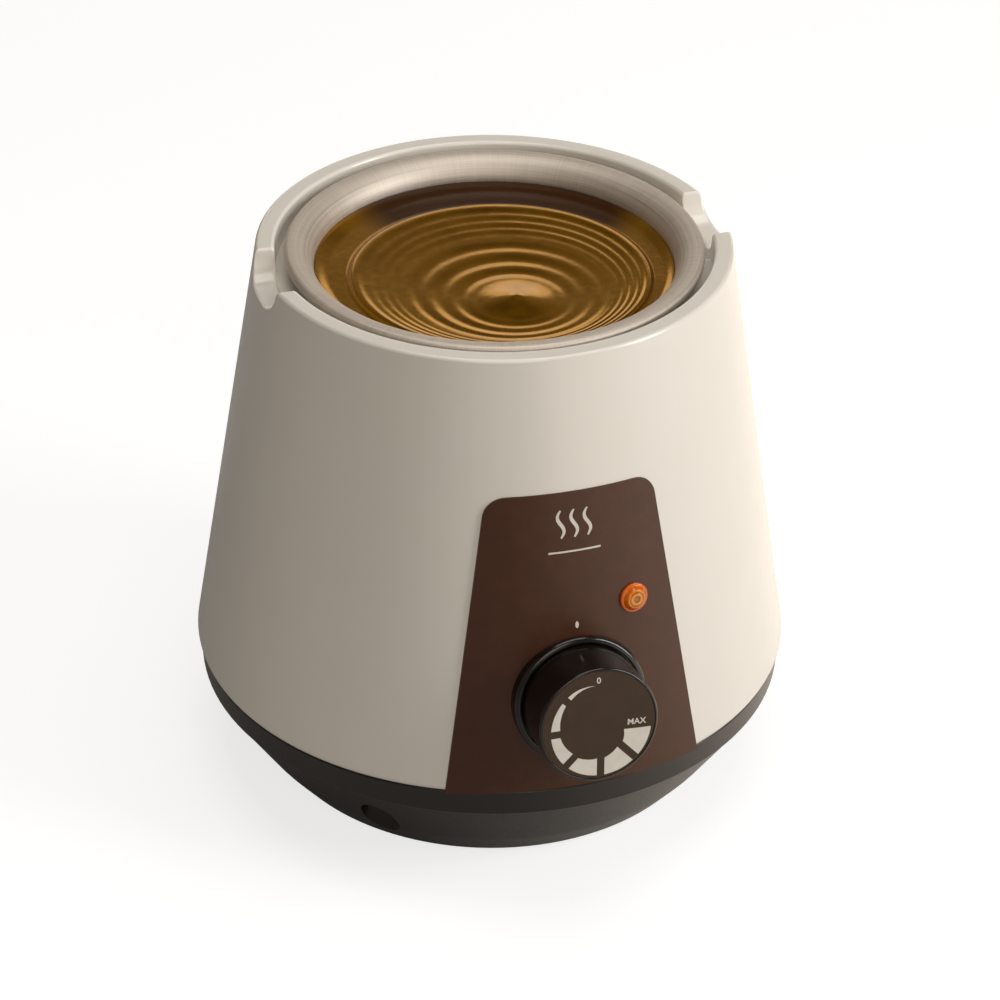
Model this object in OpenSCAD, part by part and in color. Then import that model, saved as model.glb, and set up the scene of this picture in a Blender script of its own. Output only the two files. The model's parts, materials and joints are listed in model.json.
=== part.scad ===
// Electric chocolate melting pot. A steel pot hangs in a dry, heated well inside a
// conical shell, which stands on a black base and carries the temperature dial.
// Millimetres. The origin is on the table under the pot's axis, +Z is up, and the
// control panel faces -Y. Angles round the pot start at the panel and grow towards +X.

/* [Shell] */
// Height from the table to the top of the rim
total_h = 246; // [241:0.5:261]
// Radius of the rim's outer edge
rim_r = 99.1; // [98:0.2:104]
// Radius of the shell's bottom edge before it is rounded
skirt_r = 130.2; // [129:0.2:136]
// Height of the seam between shell and base
seam_z = 57; // [55:0.5:61]
// Wall thickness of the shell
shell_t = 3; // [2.4:0.1:3.6]
// Width of the rim's flat top
rim_w = 7.9; // [7:0.1:8.6]
// Thickness of the rim's flat top
rim_t = 3; // [2:0.1:4]
// Thickness of the wall between the rim and the channel
collar_t = 2.5; // [1.5:0.1:3]
// Rounding of the rim's edges
rim_round = 1.6; // [0.4:0.1:2]
// Rounding of the shell's bottom edge
skirt_round = 2.4; // [0.5:0.1:2.5]

/* [Channel and finger notches] */
// Depth of the channel round the pot, below the rim
channel_h = 12; // [11:0.5:14]
// Thickness of the channel's floor
channel_floor_t = 4.5; // [4.2:0.1:6]
// Thickness of the lip that the pot rests on
lip_t = 2.5; // [1.5:0.1:3]
// Width of a finger notch at the top of the rim
notch_w = 36.5; // [30:0.5:40]
// Depth of a finger notch
notch_h = 11.8; // [9:0.1:11.9]
// Radius of a finger notch's lower corners
notch_round = 11; // [6:0.5:12]

/* [Pot] */
// Inner radius of the pot below its rim
pot_r = 75.4; // [74:0.1:76]
// Radius of the pot's rolled edge
pot_edge_r = 87.5; // [86.5:0.1:88.5]
// Radius of the bend from the wall to the rim
pot_bend_r = 9.6; // [8:0.1:9.8]
// Thickness of the pot's sheet
pot_t = 1; // [0.8:0.1:1.2]
// Thickness of the rolled edge
pot_bead_d = 4.2; // [3.4:0.1:4.4]
// How far the pot's crest lies below the rim
pot_sink = 1.2; // [0.5:0.1:2]
// Depth of the pot
pot_depth = 172; // [150:1:174]
// Inner radius of the pot's flat floor, with its corner
pot_floor_r = 72; // [68:0.5:73]
// Radius of the corner between wall and floor
pot_corner_r = 22; // [16:0.5:24]
// How far the chocolate lies below the pot's crest
fill_drop = 9.8; // [6:0.1:30]
// Height of the chocolate's ripples
ripple_h = 0.9; // [0.2:0.1:1.5]
// Number of ripples between the middle and the pot's wall
ripples = 7; // [4:1:9]

/* [Well and heater] */
// Air gap between the pot's wall and the well
well_air = 2; // [1.6:0.1:2.4]
// Thickness of the well's sheet
well_t = 1.5; // [1:0.1:1.8]
// Width of the well's flange
well_flange_w = 11; // [10:0.5:12]
// Height of the air gap under the pot
well_floor_air = 3; // [2:0.5:6]
// Radius of the well's lower corner
well_corner_r = 22; // [18:0.5:24]
// Thickness of the band heater
heater_t = 2; // [1.5:0.1:3]
// Height of the band heater
heater_h = 80; // [60:1:100]
// Height of its lower edge above the table
heater_z = 92; // [91:1:96]
// Thickness of the glass-wool jacket
jacket_t = 4; // [3:0.5:4.5]
// Height of the jacket
jacket_h = 128; // [120:1:130]
// Radius of the well's fixing screws
well_screw_r = 1.5; // [1.2:0.1:1.6]

/* [Base] */
// Gap between the base and the table
base_lift = 2.5; // [1.5:0.1:4]
// Wall thickness of the base
base_t = 2.8; // [2.4:0.1:3.2]
// Radius of the base just under the seam
band_r = 129; // [128:0.1:129.6]
// Radius of the base at its ridge
ridge_r = 128.1; // [126.5:0.1:128.6]
// Height of the ridge
ridge_z = 45.3; // [43:0.1:47.5]
// Depth of the step under the ridge
ridge_step = 1.2; // [0.4:0.1:2]
// Radius of the base's bottom edge before it is rounded
foot_r = 98; // [96:0.2:100]
// Rounding of the base's bottom edge
foot_round = 4; // [1:0.5:5]
// How far the lower wall bulges out
belly = 1.2; // [0.2:0.1:2]
// Radius of a screw recess
recess_r = 8.2; // [7:0.1:8.6]
// Height of the recess's ceiling
recess_z = 49; // [46:0.5:50]
// Distance of the casing screws from the pot's axis
case_screw_ring_r = 113; // [111:0.5:114]
// Angle from the panel to the nearest casing screw
case_screw_az = 41; // [38:0.5:45]
// Radius of the casing screws
case_screw_r = 1.75; // [1.5:0.05:2]
// Outer radius of the rubber ring that the base stands on
foot_ring_r = 90; // [86:0.5:91]
// Width of the rubber ring
foot_ring_w = 9; // [6:0.5:12]

/* [Cord inlet] */
// Height of the cord inlet's axis
inlet_z = 24; // [23:0.5:26]
// Radius of the hole for the mains cord
cord_hole_r = 3.5; // [3:0.1:4]
// Radius of the gland's barrel
gland_r = 7.9; // [7:0.1:8.5]
// Distance of the inlet's outer face from the pot's axis
inlet_face_y = 116; // [114:0.5:117]

/* [Control panel] */
// Height of the panel's top edge at its middle
panel_top_z = 189.4; // [180:0.2:195]
// Height of the panel's bottom edge at its middle
panel_bottom_z = 58.8; // [58:0.2:62]
// Width of the panel at its top, before the corners are rounded
panel_top_w = 70; // [64:0.2:74]
// Width of the panel at its bottom
panel_bottom_w = 110.6; // [104:0.2:116]
// Radius of the panel's top corners
panel_round = 10; // [2:0.5:14]
// Thickness of the panel
panel_t = 0.8; // [0.5:0.1:1.2]

/* [Dial] */
// Height of the dial's axis where it meets the shell
dial_z = 98.7; // [96:0.1:102]
// Radius of the knob
knob_r = 25.1; // [23:0.1:26]
// How far the knob stands out from the panel
knob_h = 25.8; // [22:0.2:28]
// Wall thickness of the knob
knob_t = 2.2; // [1.6:0.1:2.6]
// Rounding of the knob's outer edge
knob_round = 0.9; // [0.3:0.1:1.2]
// Depth that the knob's face is let in
face_recess = 0.7; // [0.4:0.1:1.2]
// Thickness of the printed disc
dial_disc_t = 0.5; // [0.3:0.05:0.6]
// Outer radius of the bezel
bezel_r = 28.2; // [27.5:0.1:29]
// How far the bezel stands out
bezel_h = 3; // [2.2:0.1:4]
// Radius of the thermostat's spindle
spindle_r = 3; // [2.8:0.1:3.2]
// Distance between the thermostat's fixing screws
dial_screw_pitch = 28; // [26:0.5:30]
// Radius of the thermostat's fixing screws
dial_screw_r = 2; // [1.5:0.1:2]

/* [Pilot lamp] */
// Angle of the lamp from the panel's centre line
lamp_az = 12.3; // [11.5:0.1:14]
// Height of the lamp
lamp_z = 137.8; // [136:0.2:145]
// Radius of the lens
lens_r = 6.3; // [6:0.1:7]
// How far the lens stands out
lens_h = 3.2; // [2:0.1:4]
// Radius of the lamp's body
lamp_body_r = 5.2; // [4.8:0.1:5.4]
// Length of the lamp's body behind the panel
lamp_body_l = 16; // [14:0.5:17]

/* [Hidden] */

cream = [0.90, 0.87, 0.82];
brown = [0.25, 0.17, 0.14];
black = [0.13, 0.12, 0.11];
steel = [0.74, 0.73, 0.71];
aluminium = [0.80, 0.81, 0.82];
copper = [0.80, 0.48, 0.32];
brass = [0.85, 0.70, 0.35];
chocolate = [0.42, 0.27, 0.10];
amber = [0.95, 0.50, 0.10];
green = [0.35, 0.55, 0.15];
heater_red = [0.75, 0.30, 0.20];
wool = [0.88, 0.84, 0.66];
block_white = [0.90, 0.90, 0.86];
round_fn = 96;
arc_steps = 8;

// Clearances and overruns
seat_gap = 0.3; // between the pot and what it rests on
fit_gap = 0.1; // round a piece that is pushed in place
run_gap = 0.06; // round a turning shaft
screw_gap = 0.15; // round a screw that passes through a hole
thread_gap = 0.05; // round a screw in the hole that it grips
glue_gap = 0.05; // under a glued piece
cut = 1; // overrun of every cut

// Shell
cone_slope = (skirt_r - rim_r) / (total_h - seam_z);
tilt = atan(cone_slope);
shell_dr = shell_t / cos(tilt);
rim_in_r = rim_r - rim_w;
collar_r = rim_in_r + collar_t;
channel_z = total_h - channel_h;
floor_under_z = channel_z - channel_floor_t;
notch_floor_share = 0.95; // of a notch's width at the rim, its width at the floor before rounding
boss_r = 5;
boss_h = 27;
boss_web_t = 3;
boss_screw_share = 0.7; // of a boss's height, the length of the screw in it
skirt_round_share = 0.8; // of the shell's wall, the most that its bottom edge is rounded

// Pot
pot_crest_z = total_h - pot_sink;
pot_floor_z = pot_crest_z - pot_depth;
pot_under_z = pot_floor_z - pot_t;
bend_axis_r = pot_r + pot_bend_r;
bend_axis_z = pot_crest_z - pot_bend_r;
fill_z = pot_crest_z - fill_drop;
peak_h = 2.2;
wave_steps = 6;

// Lip, which reaches the underside of the pot's bend
lip_air = 3;
lip_r = pot_r + pot_t + lip_air;
lip_top_z = bend_axis_z + sqrt(pow(pot_bend_r - pot_t, 2) - pow(bend_axis_r - lip_r, 2)) - seat_gap;

// Well, heater and jacket
well_in_r = pot_r + pot_t + well_air;
well_out_r = well_in_r + well_t;
well_flange_r = well_in_r + well_flange_w;
well_floor_z = pot_under_z - well_floor_air;
well_under_z = well_floor_z - well_t;
well_screw_ring_r = well_out_r + well_flange_w / 2 + well_screw_r / 2;
well_screw_l = 5;
heater_in_r = well_out_r + fit_gap;
heater_out_r = heater_in_r + heater_t;
heater_gap_w = 14;
strap_t = 0.6;
strap_w = 10;
strap_in_r = heater_out_r + fit_gap;
strap_out_r = strap_in_r + strap_t;
strap_share = 0.25; // of the heater's height, from each of its edges to a strap
ear_t = 1;
ear_l = 9;
ear_gap = 8;
strap_bolt_r = 1.5;
strap_bolt_out = 5;
jacket_in_r = strap_out_r + fit_gap;
jacket_drop = 7; // from the heater's lower edge to the jacket's
jacket_z = heater_z - jacket_drop;
jacket_gap_w = 26;

// Base
base_slope = (ridge_r - foot_r) / (ridge_z - base_lift);
base_dr = base_t / cos(atan(base_slope));
base_floor_z = base_lift + base_t;
tongue_h = 5;
tongue_t = 2;
tongue_r = skirt_r - shell_dr - (tongue_h * cone_slope) - seat_gap;
belly_bend_r = 60;
band_round = 0.8;
ridge_round = 1.4;
step_round = 0.5;
recess_t = 2.2;
lid_z = recess_z + base_t;
boss_z = lid_z;
vent_w = 4;
vent_l = 20;
vent_in_r = 44;
vents = 16;
ring_groove = 1.2;

// Cord inlet
pad_t = 16;
inlet_wall_t = 3.4;
inlet_pad_r = gland_r + inlet_wall_t;
gland_flange_w = 2.4;
gland_flange_r = gland_r + gland_flange_w;
gland_flange_t = 2.2;
gland_nut_t = 4.5;
gland_nut_w = 3;
gland_nut_r = gland_r + gland_nut_w;
gland_tail = 6;

// Dial
face_dr = panel_t / cos(tilt);
panel_edge_steps = 6;
dial_pad_t = 3.2; // how far the pad thickens the wall
dial_pad_depth = panel_t + shell_t + dial_pad_t;
dial_pad_r = 24;
knob_gap = 0.5;
knob_foot_z = 1.8;
bezel_in_r = knob_r + knob_gap;
bezel_floor_t = 1.2;
bezel_skirt_h = 5;
bezel_round = 1.9;
hub_r = 7;
hub_z = 5;
hub_hole_r = 8;
knob_top_t = 2;
disc_z = knob_h - face_recess;
face_edge_w = 1.2;
disc_r = knob_r - face_edge_w;
flat_share = 0.72; // of the spindle's radius, from its axis to its flat
flat_y = spindle_r * flat_share;
clip_t = 0.6;
clip_w = 4;
clip_pocket_y = flat_y + clip_t + fit_gap;
spindle_tail = 20;
spindle_tip = 20.5;
dial_collar_t = 1.8;
dial_collar_r = spindle_r + dial_collar_t;
bracket_w = 42;
bracket_h = 32;
bracket_t = 1.5;
case_w = 36;
case_h = 32;
case_l = 23;
case_z = dial_pad_depth + bracket_t;
tab_w = 6.3;
tab_t = 0.8;
tab_l = 8;
tab_pitch = 16;
tab_inset = 6; // from the case's rear to its tabs
tab_z = case_z + case_l - tab_inset;
screw_head_h = 1.9;
screw_head_r = 3.4;

// Pilot lamp
lamp_pad_r = 10;
lamp_pad_t = 0.6;
lamp_pad_depth = panel_t + shell_t + lamp_pad_t;
lens_edge_h = 1.2;
lens_tail = 6;
lamp_wall_t = 0.8;
lamp_nut_t = 2.5;
lamp_nut_r = 8.5;
lamp_tab_w = 4.8;
lamp_tab_l = 6;
lamp_tab_pitch = 5.6;

// Sensing bulb, cut-out and earth under the well
bulb_r = 3;
bulb_l = 60;
bulb_y = -34;
bulb_z = well_under_z - bulb_r - fit_gap;
clip_sheet_t = 0.7;
clip_len = 8;
clip_tab_w = 8;
clip_share = 0.3; // of the bulb's length, from its middle to a clip
cutout_r = 8;
cutout_h = 8;
cutout_x = 26;
cutout_plate_t = 1;
cutout_pitch = 26;
cutout_plate_r = 5;
cutout_tab_inset = 2; // from the cut-out's underside to its tabs
cutout_tab_z = well_under_z - cutout_h + cutout_tab_inset;
m3_r = 1.5;
m3_head_r = 2.8;
m3_head_h = 2;
earth_x = -28;
earth_y = -6;
earth_screw_r = 2;
tag_r = 4.5;
tag_t = 0.8;
tag_l = 9;

// Terminal block on the base's floor
block_x = -30;
block_y = 34;
block_w = 46;
block_d = 20;
block_h = 15;
block_post_h = 3;
block_post_r = 4;
block_pitch = 12;
block_hole_r = 2;
insert_r = 3.2;
insert_inset = 1;
insert_l = block_d - 2 * insert_inset;
wire_bite = 0.6;
block_hole_h = 5; // of a wire hole's axis over the block's underside
block_hole_z = base_floor_z + block_post_h + block_hole_h;
block_screw_share = 0.42; // of the block's width, from its middle to a fixing screw
terminal_screw_r = 2.2;
terminal_screw_l = 7;
block_front_y = block_y - block_d / 2;
block_back_y = block_y + block_d / 2;

// Wiring
lead_r = 1.1;
capillary_r = 0.8;
lead_sides = 8;
lead_steps = 4;
lead_gap = 0.2; // between a lead's end and its tab
lead_out = 4; // straight run out of a tab
lead_in = 4; // run into a terminal
bend = 8; // step between the points of a lead
low_share = 0.2; // heights of the leads, as shares of the way from the base's floor to the well
mid_share = 0.5;
high_share = 0.72;
capillary_share = 0.3; // of the case's width, from its middle to the tube's exit
capillary_out_x = case_w * capillary_share;

// Radius of the shell's outer cone at height z, and of the panel's face over it
function shell_r(z) = rim_r + (total_h - z) * cone_slope;
function face_r(z) = shell_r(z) + face_dr;

// Point at radius r, angle a from the panel and height z
function polar(r, a, z) = [r * sin(a), -r * cos(a), z];

// The panel is cut out flat, so an edge that passes z in the middle drops at the distance x
function flat_cut(x, z) = z - pow(x, 2) * sin(tilt) / (2 * face_r(z));

// Edge of the panel of width w through height z, from its left to its right end
function panel_edge(w, z, r) =
    [for (i = [0:panel_edge_steps]) let (x = w * (i / panel_edge_steps - 1 / 2))
        [x, flat_cut(x, z), i == 0 || i == panel_edge_steps ? r : 0]];

// A point [x, y, z] of the frame that on_panel(az, z) gives its children
function panel_point(az, z, p) =
    let (out = face_r(z) + p.z * cos(tilt) - p.y * sin(tilt))
    polar(out, az, z + p.y * cos(tilt) + p.z * sin(tilt)) + [p.x * cos(az), p.x * sin(az), 0];

function unit(v) = v / norm(v);

// Arc of radius r that rounds the corner b between its neighbours a and c
function corner_arc(a, b, c, r) =
    r == 0 ? [b] :
    let (
        u = unit(a - b), v = unit(c - b),
        half = acos(u * v) / 2,
        mid = b + unit(u + v) * r / sin(half),
        p = b + u * r / tan(half) - mid,
        q = b + v * r / tan(half) - mid,
        start = atan2(p.y, p.x),
        turn = (atan2(q.y, q.x) - start + 540) % 360 - 180
    )
    [for (i = [0:arc_steps]) mid + r * [cos(start + turn * i / arc_steps), sin(start + turn * i / arc_steps)]];

// Closed outline through the corners [x, y, rounding]; a corner without rounding is sharp
function rounded(path) =
    let (n = len(path), at = [for (p = path) [p[0], p[1]]])
    [for (i = [0:n - 1]) each corner_arc(at[(i + n - 1) % n], at[i], at[(i + 1) % n],
        len(path[i]) == 3 ? path[i][2] : 0)];

// Direction of a lead at its point i, halfway between the stretches before and after it
function heading(p, i) =
    i == 0 ? unit(p[1] - p[0]) :
    i == len(p) - 1 ? unit(p[i] - p[i - 1]) :
    unit(unit(p[i] - p[i - 1]) + unit(p[i + 1] - p[i]));

// Point of a lead at the share t of the way from its point i to the next
function smooth(p, i, t) =
    let (l = norm(p[i + 1] - p[i]))
    p[i] * (2 * pow(t, 3) - 3 * pow(t, 2) + 1) + heading(p, i) * l * (pow(t, 3) - 2 * pow(t, 2) + t)
    + p[i + 1] * (3 * pow(t, 2) - 2 * pow(t, 3)) + heading(p, i + 1) * l * (pow(t, 3) - pow(t, 2));

function lead_curve(p) =
    [for (i = [0:len(p) - 2]) for (k = [0:lead_steps - 1]) smooth(p, i, k / lead_steps), p[len(p) - 1]];

// Height of the chocolate's surface over its level at radius r
function ripple(r, wall_r) =
    peak_h * exp(-pow(r * ripples / wall_r, 2))
    + ripple_h * (1 - r / wall_r) * sin(360 * ripples * r / wall_r) / 2;

module turned(path) {
    rotate_extrude($fn = round_fn)
        polygon(rounded(path));
}

module rod(r, h) {
    cylinder(r = r, h = h, $fn = round_fn);
}

// Frame on the panel's face at angle az and height z: +Z points out of it, +Y up along it
module on_panel(az, z) {
    rotate([0, 0, az])
        translate([0, -face_r(z), z])
            rotate([90 - tilt, 0, 0])
                children();
}

// Frame at the cord inlet with +Z pointing out of the back
module at_inlet() {
    translate([0, 0, inlet_z])
        rotate([-90, 0, 0])
            children();
}

module at_case_screws() {
    for (a = [case_screw_az, 180 - case_screw_az, 180 + case_screw_az, -case_screw_az])
        rotate([0, 0, a])
            translate([0, -case_screw_ring_r, 0])
                children();
}

module at_well_screws() {
    for (a = [45:90:315])
        rotate([0, 0, a])
            translate([0, -well_screw_ring_r, 0])
                children();
}

module at_dial_screws() {
    for (s = [-1, 1])
        translate([s * dial_screw_pitch / 2, 0, 0])
            children();
}

// Round tube of radius r along the smooth curve through the points
module lead(points, r) {
    c = lead_curve(points);
    n = len(c);
    dirs = [for (i = [0:n - 1])
        i == 0 ? heading(points, 0) :
        i == n - 1 ? heading(points, len(points) - 1) :
        unit(c[i + 1] - c[i - 1])];
    first = unit(cross(dirs[0], abs(dirs[0].x) < 0.9 ? [1, 0, 0] : [0, 1, 0]));
    sides = [for (i = 0, s = first; i < n; i = i + 1,
        s = i < n ? unit(s - (s * dirs[i]) * dirs[i]) : s) s];
    points3 = [for (i = [0:n - 1]) for (k = [0:lead_sides - 1])
        let (a = 360 * k / lead_sides)
        c[i] + r * (sides[i] * cos(a) + cross(dirs[i], sides[i]) * sin(a))];
    walls = [for (i = [0:n - 2]) for (k = [0:lead_sides - 1])
        let (m = (k + 1) % lead_sides, a = i * lead_sides, b = a + lead_sides)
        each [[a + k, b + m, a + m], [a + k, b + k, b + m]]];
    start = [for (k = [0:lead_sides - 1]) k];
    end = [for (k = [lead_sides - 1:-1:0]) (n - 1) * lead_sides + k];
    polyhedron(points3, concat(walls, [start, end]));
}

// The cone at the middle of the shell's wall, which trims what grows from the wall
module shell_core() {
    translate([0, 0, seam_z])
        cylinder(r1 = skirt_r - shell_dr / 2, r2 = rim_r - shell_dr / 2, h = total_h - seam_z, $fn = round_fn);
}

// Both finger notches, as a slot along X with its outline grown by the length grow
module notches(grow) {
    floor_w = notch_w * notch_floor_share + 2 * grow;
    top_w = notch_w + 2 * grow;
    floor_z = total_h - notch_h - grow;
    rotate([90, 0, 90])
        linear_extrude(height = 2 * skirt_r, center = true)
            polygon(rounded([[-top_w / 2, total_h + cut], [-floor_w / 2, floor_z, notch_round + grow],
                [floor_w / 2, floor_z, notch_round + grow], [top_w / 2, total_h + cut]]));
}

module body_shell() {
    web_z = seam_z + tongue_h + seat_gap;
    edge = min(skirt_round, shell_t * skirt_round_share);
    color(cream)
    difference() {
        union() {
            turned([[rim_r, total_h, rim_round], [skirt_r, seam_z, edge], [skirt_r - shell_dr, seam_z],
                [shell_r(total_h - rim_t) - shell_dr, total_h - rim_t], [collar_r, total_h - rim_t],
                [collar_r, floor_under_z], [lip_r, floor_under_z], [lip_r, lip_top_z],
                [lip_r + lip_t, lip_top_z], [lip_r + lip_t, channel_z], [rim_in_r, channel_z],
                [rim_in_r, total_h, rim_round]]);
            // Walls of the finger notches, inside the hollow rim
            intersection() {
                turned([[rim_in_r + collar_t / 2, total_h - rim_t / 2], [rim_in_r + collar_t / 2, floor_under_z],
                    [shell_r(floor_under_z) - shell_dr / 2, floor_under_z],
                    [shell_r(total_h - rim_t / 2) - shell_dr / 2, total_h - rim_t / 2]]);
                notches(shell_t);
            }
            intersection() {
                union() {
                    on_panel(0, dial_z)
                        translate([0, 0, -dial_pad_depth])
                            rod(dial_pad_r, dial_pad_depth);
                    on_panel(lamp_az, lamp_z)
                        translate([0, 0, -lamp_pad_depth])
                            rod(lamp_pad_r, lamp_pad_depth);
                    at_case_screws()
                        translate([-boss_web_t / 2, case_screw_ring_r - skirt_r, web_z])
                            cube([boss_web_t, skirt_r - case_screw_ring_r, boss_z + boss_h - web_z]);
                }
                shell_core();
            }
            at_case_screws()
                translate([0, 0, boss_z])
                    rod(boss_r, boss_h);
        }
        difference() {
            notches(0);
            rod(lip_r + lip_t + cut, 2 * total_h);
        }
        on_panel(0, dial_z)
            translate([0, 0, -dial_pad_depth - cut]) {
                rod(dial_collar_r + screw_gap, dial_pad_depth + 2 * cut);
                at_dial_screws()
                    rod(dial_screw_r + screw_gap, dial_pad_depth + 2 * cut);
            }
        on_panel(lamp_az, lamp_z)
            translate([0, 0, -lamp_pad_depth - cut])
                rod(lamp_body_r + fit_gap, lamp_pad_depth + 2 * cut);
        at_case_screws()
            translate([0, 0, boss_z - cut])
                rod(case_screw_r + thread_gap, boss_h);
        at_well_screws()
            translate([0, 0, floor_under_z - cut])
                rod(well_screw_r + thread_gap, cut + well_screw_l - well_t);
    }
}

// Middle of the base's wall, which trims the recess tubes and the inlet's pad
module base_core() {
    turned([[0, base_lift + base_t / 2], [foot_r - base_dr / 2, base_lift + base_t / 2],
        [ridge_r - base_dr / 2, ridge_z], [ridge_r - base_dr / 2, seam_z], [0, seam_z]]);
}

module base_tray() {
    belly_z = (base_lift + ridge_z) / 3;
    belly_r = foot_r + (belly_z - base_lift) * base_slope + belly;
    tongue_in_r = tongue_r - tongue_t;
    color(black)
    difference() {
        union() {
            turned([[0, base_lift], [foot_r, base_lift, foot_round], [belly_r, belly_z, belly_bend_r],
                [ridge_r - ridge_step, ridge_z - ridge_step, step_round], [ridge_r, ridge_z, ridge_round],
                [band_r, seam_z, band_round], [tongue_r, seam_z], [tongue_r, seam_z + tongue_h],
                [tongue_in_r, seam_z + tongue_h], [tongue_in_r, ridge_z],
                [foot_r + base_t * base_slope - base_dr, base_floor_z], [0, base_floor_z]]);
            intersection() {
                union() {
                    at_case_screws()
                        translate([0, 0, base_lift])
                            rod(recess_r + recess_t, lid_z - base_lift);
                    at_inlet()
                        translate([0, 0, inlet_face_y - pad_t])
                            rod(inlet_pad_r, skirt_r);
                }
                base_core();
            }
            // Below the inlet the pad stands out of the sloping wall
            at_inlet()
                translate([0, 0, inlet_face_y - pad_t])
                    rod(inlet_pad_r, pad_t);
            for (s = [-1, 1])
                translate([block_x + s * block_w * block_screw_share, block_y, base_floor_z - base_t / 2])
                    rod(block_post_r, block_post_h + base_t / 2);
        }
        at_case_screws() {
            rod(recess_r, recess_z);
            rod(case_screw_r + screw_gap, lid_z + cut);
        }
        at_inlet() {
            rod(gland_r + fit_gap, skirt_r + cut);
            translate([0, 0, inlet_face_y])
                rod(inlet_pad_r, skirt_r);
        }
        for (i = [0:vents - 1])
            rotate([0, 0, 360 * i / vents])
                translate([-vent_w / 2, vent_in_r, base_lift - cut])
                    cube([vent_w, vent_l, base_t + 2 * cut]);
        rotate_extrude($fn = round_fn)
            translate([foot_ring_r - foot_ring_w - fit_gap, base_lift - cut])
                square([foot_ring_w + 2 * fit_gap, ring_groove + cut]);
        for (s = [-1, 1])
            translate([block_x + s * block_w * block_screw_share, block_y, base_floor_z])
                rod(m3_r + thread_gap, block_post_h + cut);
    }
}

module foot_ring() {
    edge = base_lift / 4;
    color(black)
        turned([[foot_ring_r - foot_ring_w, 0, edge], [foot_ring_r, 0, edge],
            [foot_ring_r, base_lift + ring_groove], [foot_ring_r - foot_ring_w, base_lift + ring_groove]]);
}

// Pan-head screw with its head's underside at z = 0 and its shank along +Z
module screw(r, l, head_r, head_h) {
    difference() {
        union() {
            rod(r, l);
            translate([0, 0, -head_h])
                rod(head_r, head_h);
        }
        translate([0, 0, -head_h - cut])
            cylinder(r = r, h = cut + head_h / 2, $fn = 6);
    }
}

module base_screws() {
    shank = lid_z - recess_z + boss_h * boss_screw_share;
    color(steel)
        at_case_screws()
            translate([0, 0, recess_z])
                screw(case_screw_r, shank, 2 * case_screw_r, 1.5 * case_screw_r);
}

module cord_gland() {
    color(black)
        at_inlet()
            difference() {
                union() {
                    translate([0, 0, inlet_face_y - pad_t - gland_tail])
                        rod(gland_r, pad_t + gland_tail);
                    translate([0, 0, inlet_face_y])
                        turned([[0, 0], [gland_flange_r, 0], [gland_flange_r, gland_flange_t, gland_flange_t / 2],
                            [0, gland_flange_t]]);
                }
                translate([0, 0, inlet_face_y - pad_t - gland_tail - cut])
                    rod(cord_hole_r, pad_t + gland_tail + gland_flange_t + 2 * cut);
            }
}

module gland_nut() {
    color(black)
        at_inlet()
            translate([0, 0, inlet_face_y - pad_t - gland_nut_t])
                difference() {
                    cylinder(r = gland_nut_r, h = gland_nut_t, $fn = 6);
                    translate([0, 0, -cut])
                        rod(gland_r + thread_gap, gland_nut_t + 2 * cut);
                }
}

module control_panel() {
    color(brown)
    difference() {
        intersection() {
            turned([[shell_r(seam_z) + glue_gap, seam_z - base_t], [face_r(seam_z - base_t), seam_z - base_t],
                [face_r(total_h), total_h], [shell_r(total_h) + glue_gap, total_h], [shell_r(seam_z) + glue_gap, seam_z]]);
            rotate([90, 0, 0])
                linear_extrude(height = 2 * skirt_r)
                    polygon(rounded(concat(panel_edge(panel_bottom_w, panel_bottom_z, 0),
                        [for (i = [panel_edge_steps:-1:0]) panel_edge(panel_top_w, panel_top_z, panel_round)[i]])));
        }
        on_panel(0, dial_z)
            translate([0, 0, -dial_pad_depth]) {
                rod(dial_collar_r + screw_gap, 2 * dial_pad_depth);
                at_dial_screws()
                    rod(dial_screw_r + screw_gap, 2 * dial_pad_depth);
            }
        on_panel(lamp_az, lamp_z)
            translate([0, 0, -lamp_pad_depth])
                rod(lamp_body_r + fit_gap, 2 * lamp_pad_depth);
    }
}

module knob_bezel() {
    floor_z = fit_gap + bezel_floor_t;
    color(black)
    difference() {
        on_panel(0, dial_z)
            difference() {
                turned([[hub_hole_r, fit_gap], [bezel_in_r, fit_gap], [bezel_in_r, -bezel_skirt_h],
                    [bezel_r, -bezel_skirt_h], [bezel_r, bezel_h, bezel_round], [bezel_in_r, bezel_h],
                    [bezel_in_r, floor_z], [hub_hole_r, floor_z]]);
                at_dial_screws()
                    rod(dial_screw_r + screw_gap, floor_z + cut);
            }
        // The skirt follows the panel's curve
        translate([0, 0, seam_z])
            cylinder(r1 = face_r(seam_z) + glue_gap, r2 = face_r(total_h) + glue_gap, h = total_h - seam_z,
                $fn = round_fn);
    }
}

module knob() {
    under_z = disc_z - knob_top_t;
    color(black)
        on_panel(0, dial_z)
            difference() {
                union() {
                    turned([[knob_r, knob_foot_z], [knob_r, knob_h, knob_round], [disc_r, knob_h],
                        [disc_r, disc_z], [0, disc_z], [0, under_z], [knob_r - knob_t, under_z, knob_t],
                        [knob_r - knob_t, knob_foot_z]]);
                    translate([0, 0, hub_z])
                        rod(hub_r, under_z - hub_z + knob_top_t / 2);
                }
                translate([0, 0, hub_z - cut])
                    rod(spindle_r + thread_gap, cut + spindle_tip - hub_z + seat_gap);
                translate([-clip_w / 2 - fit_gap, flat_y, hub_z - cut])
                    cube([clip_w + 2 * fit_gap, clip_pocket_y - flat_y, cut + spindle_tip - hub_z]);
            }
}

module dial_disc() {
    color(black)
        on_panel(0, dial_z)
            translate([0, 0, disc_z])
                rod(disc_r - fit_gap, dial_disc_t);
}

module knob_clip() {
    color(steel)
        on_panel(0, dial_z)
            translate([-clip_w / 2, flat_y + fit_gap / 2, hub_z])
                cube([clip_w, clip_t, spindle_tip - hub_z - fit_gap]);
}

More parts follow.
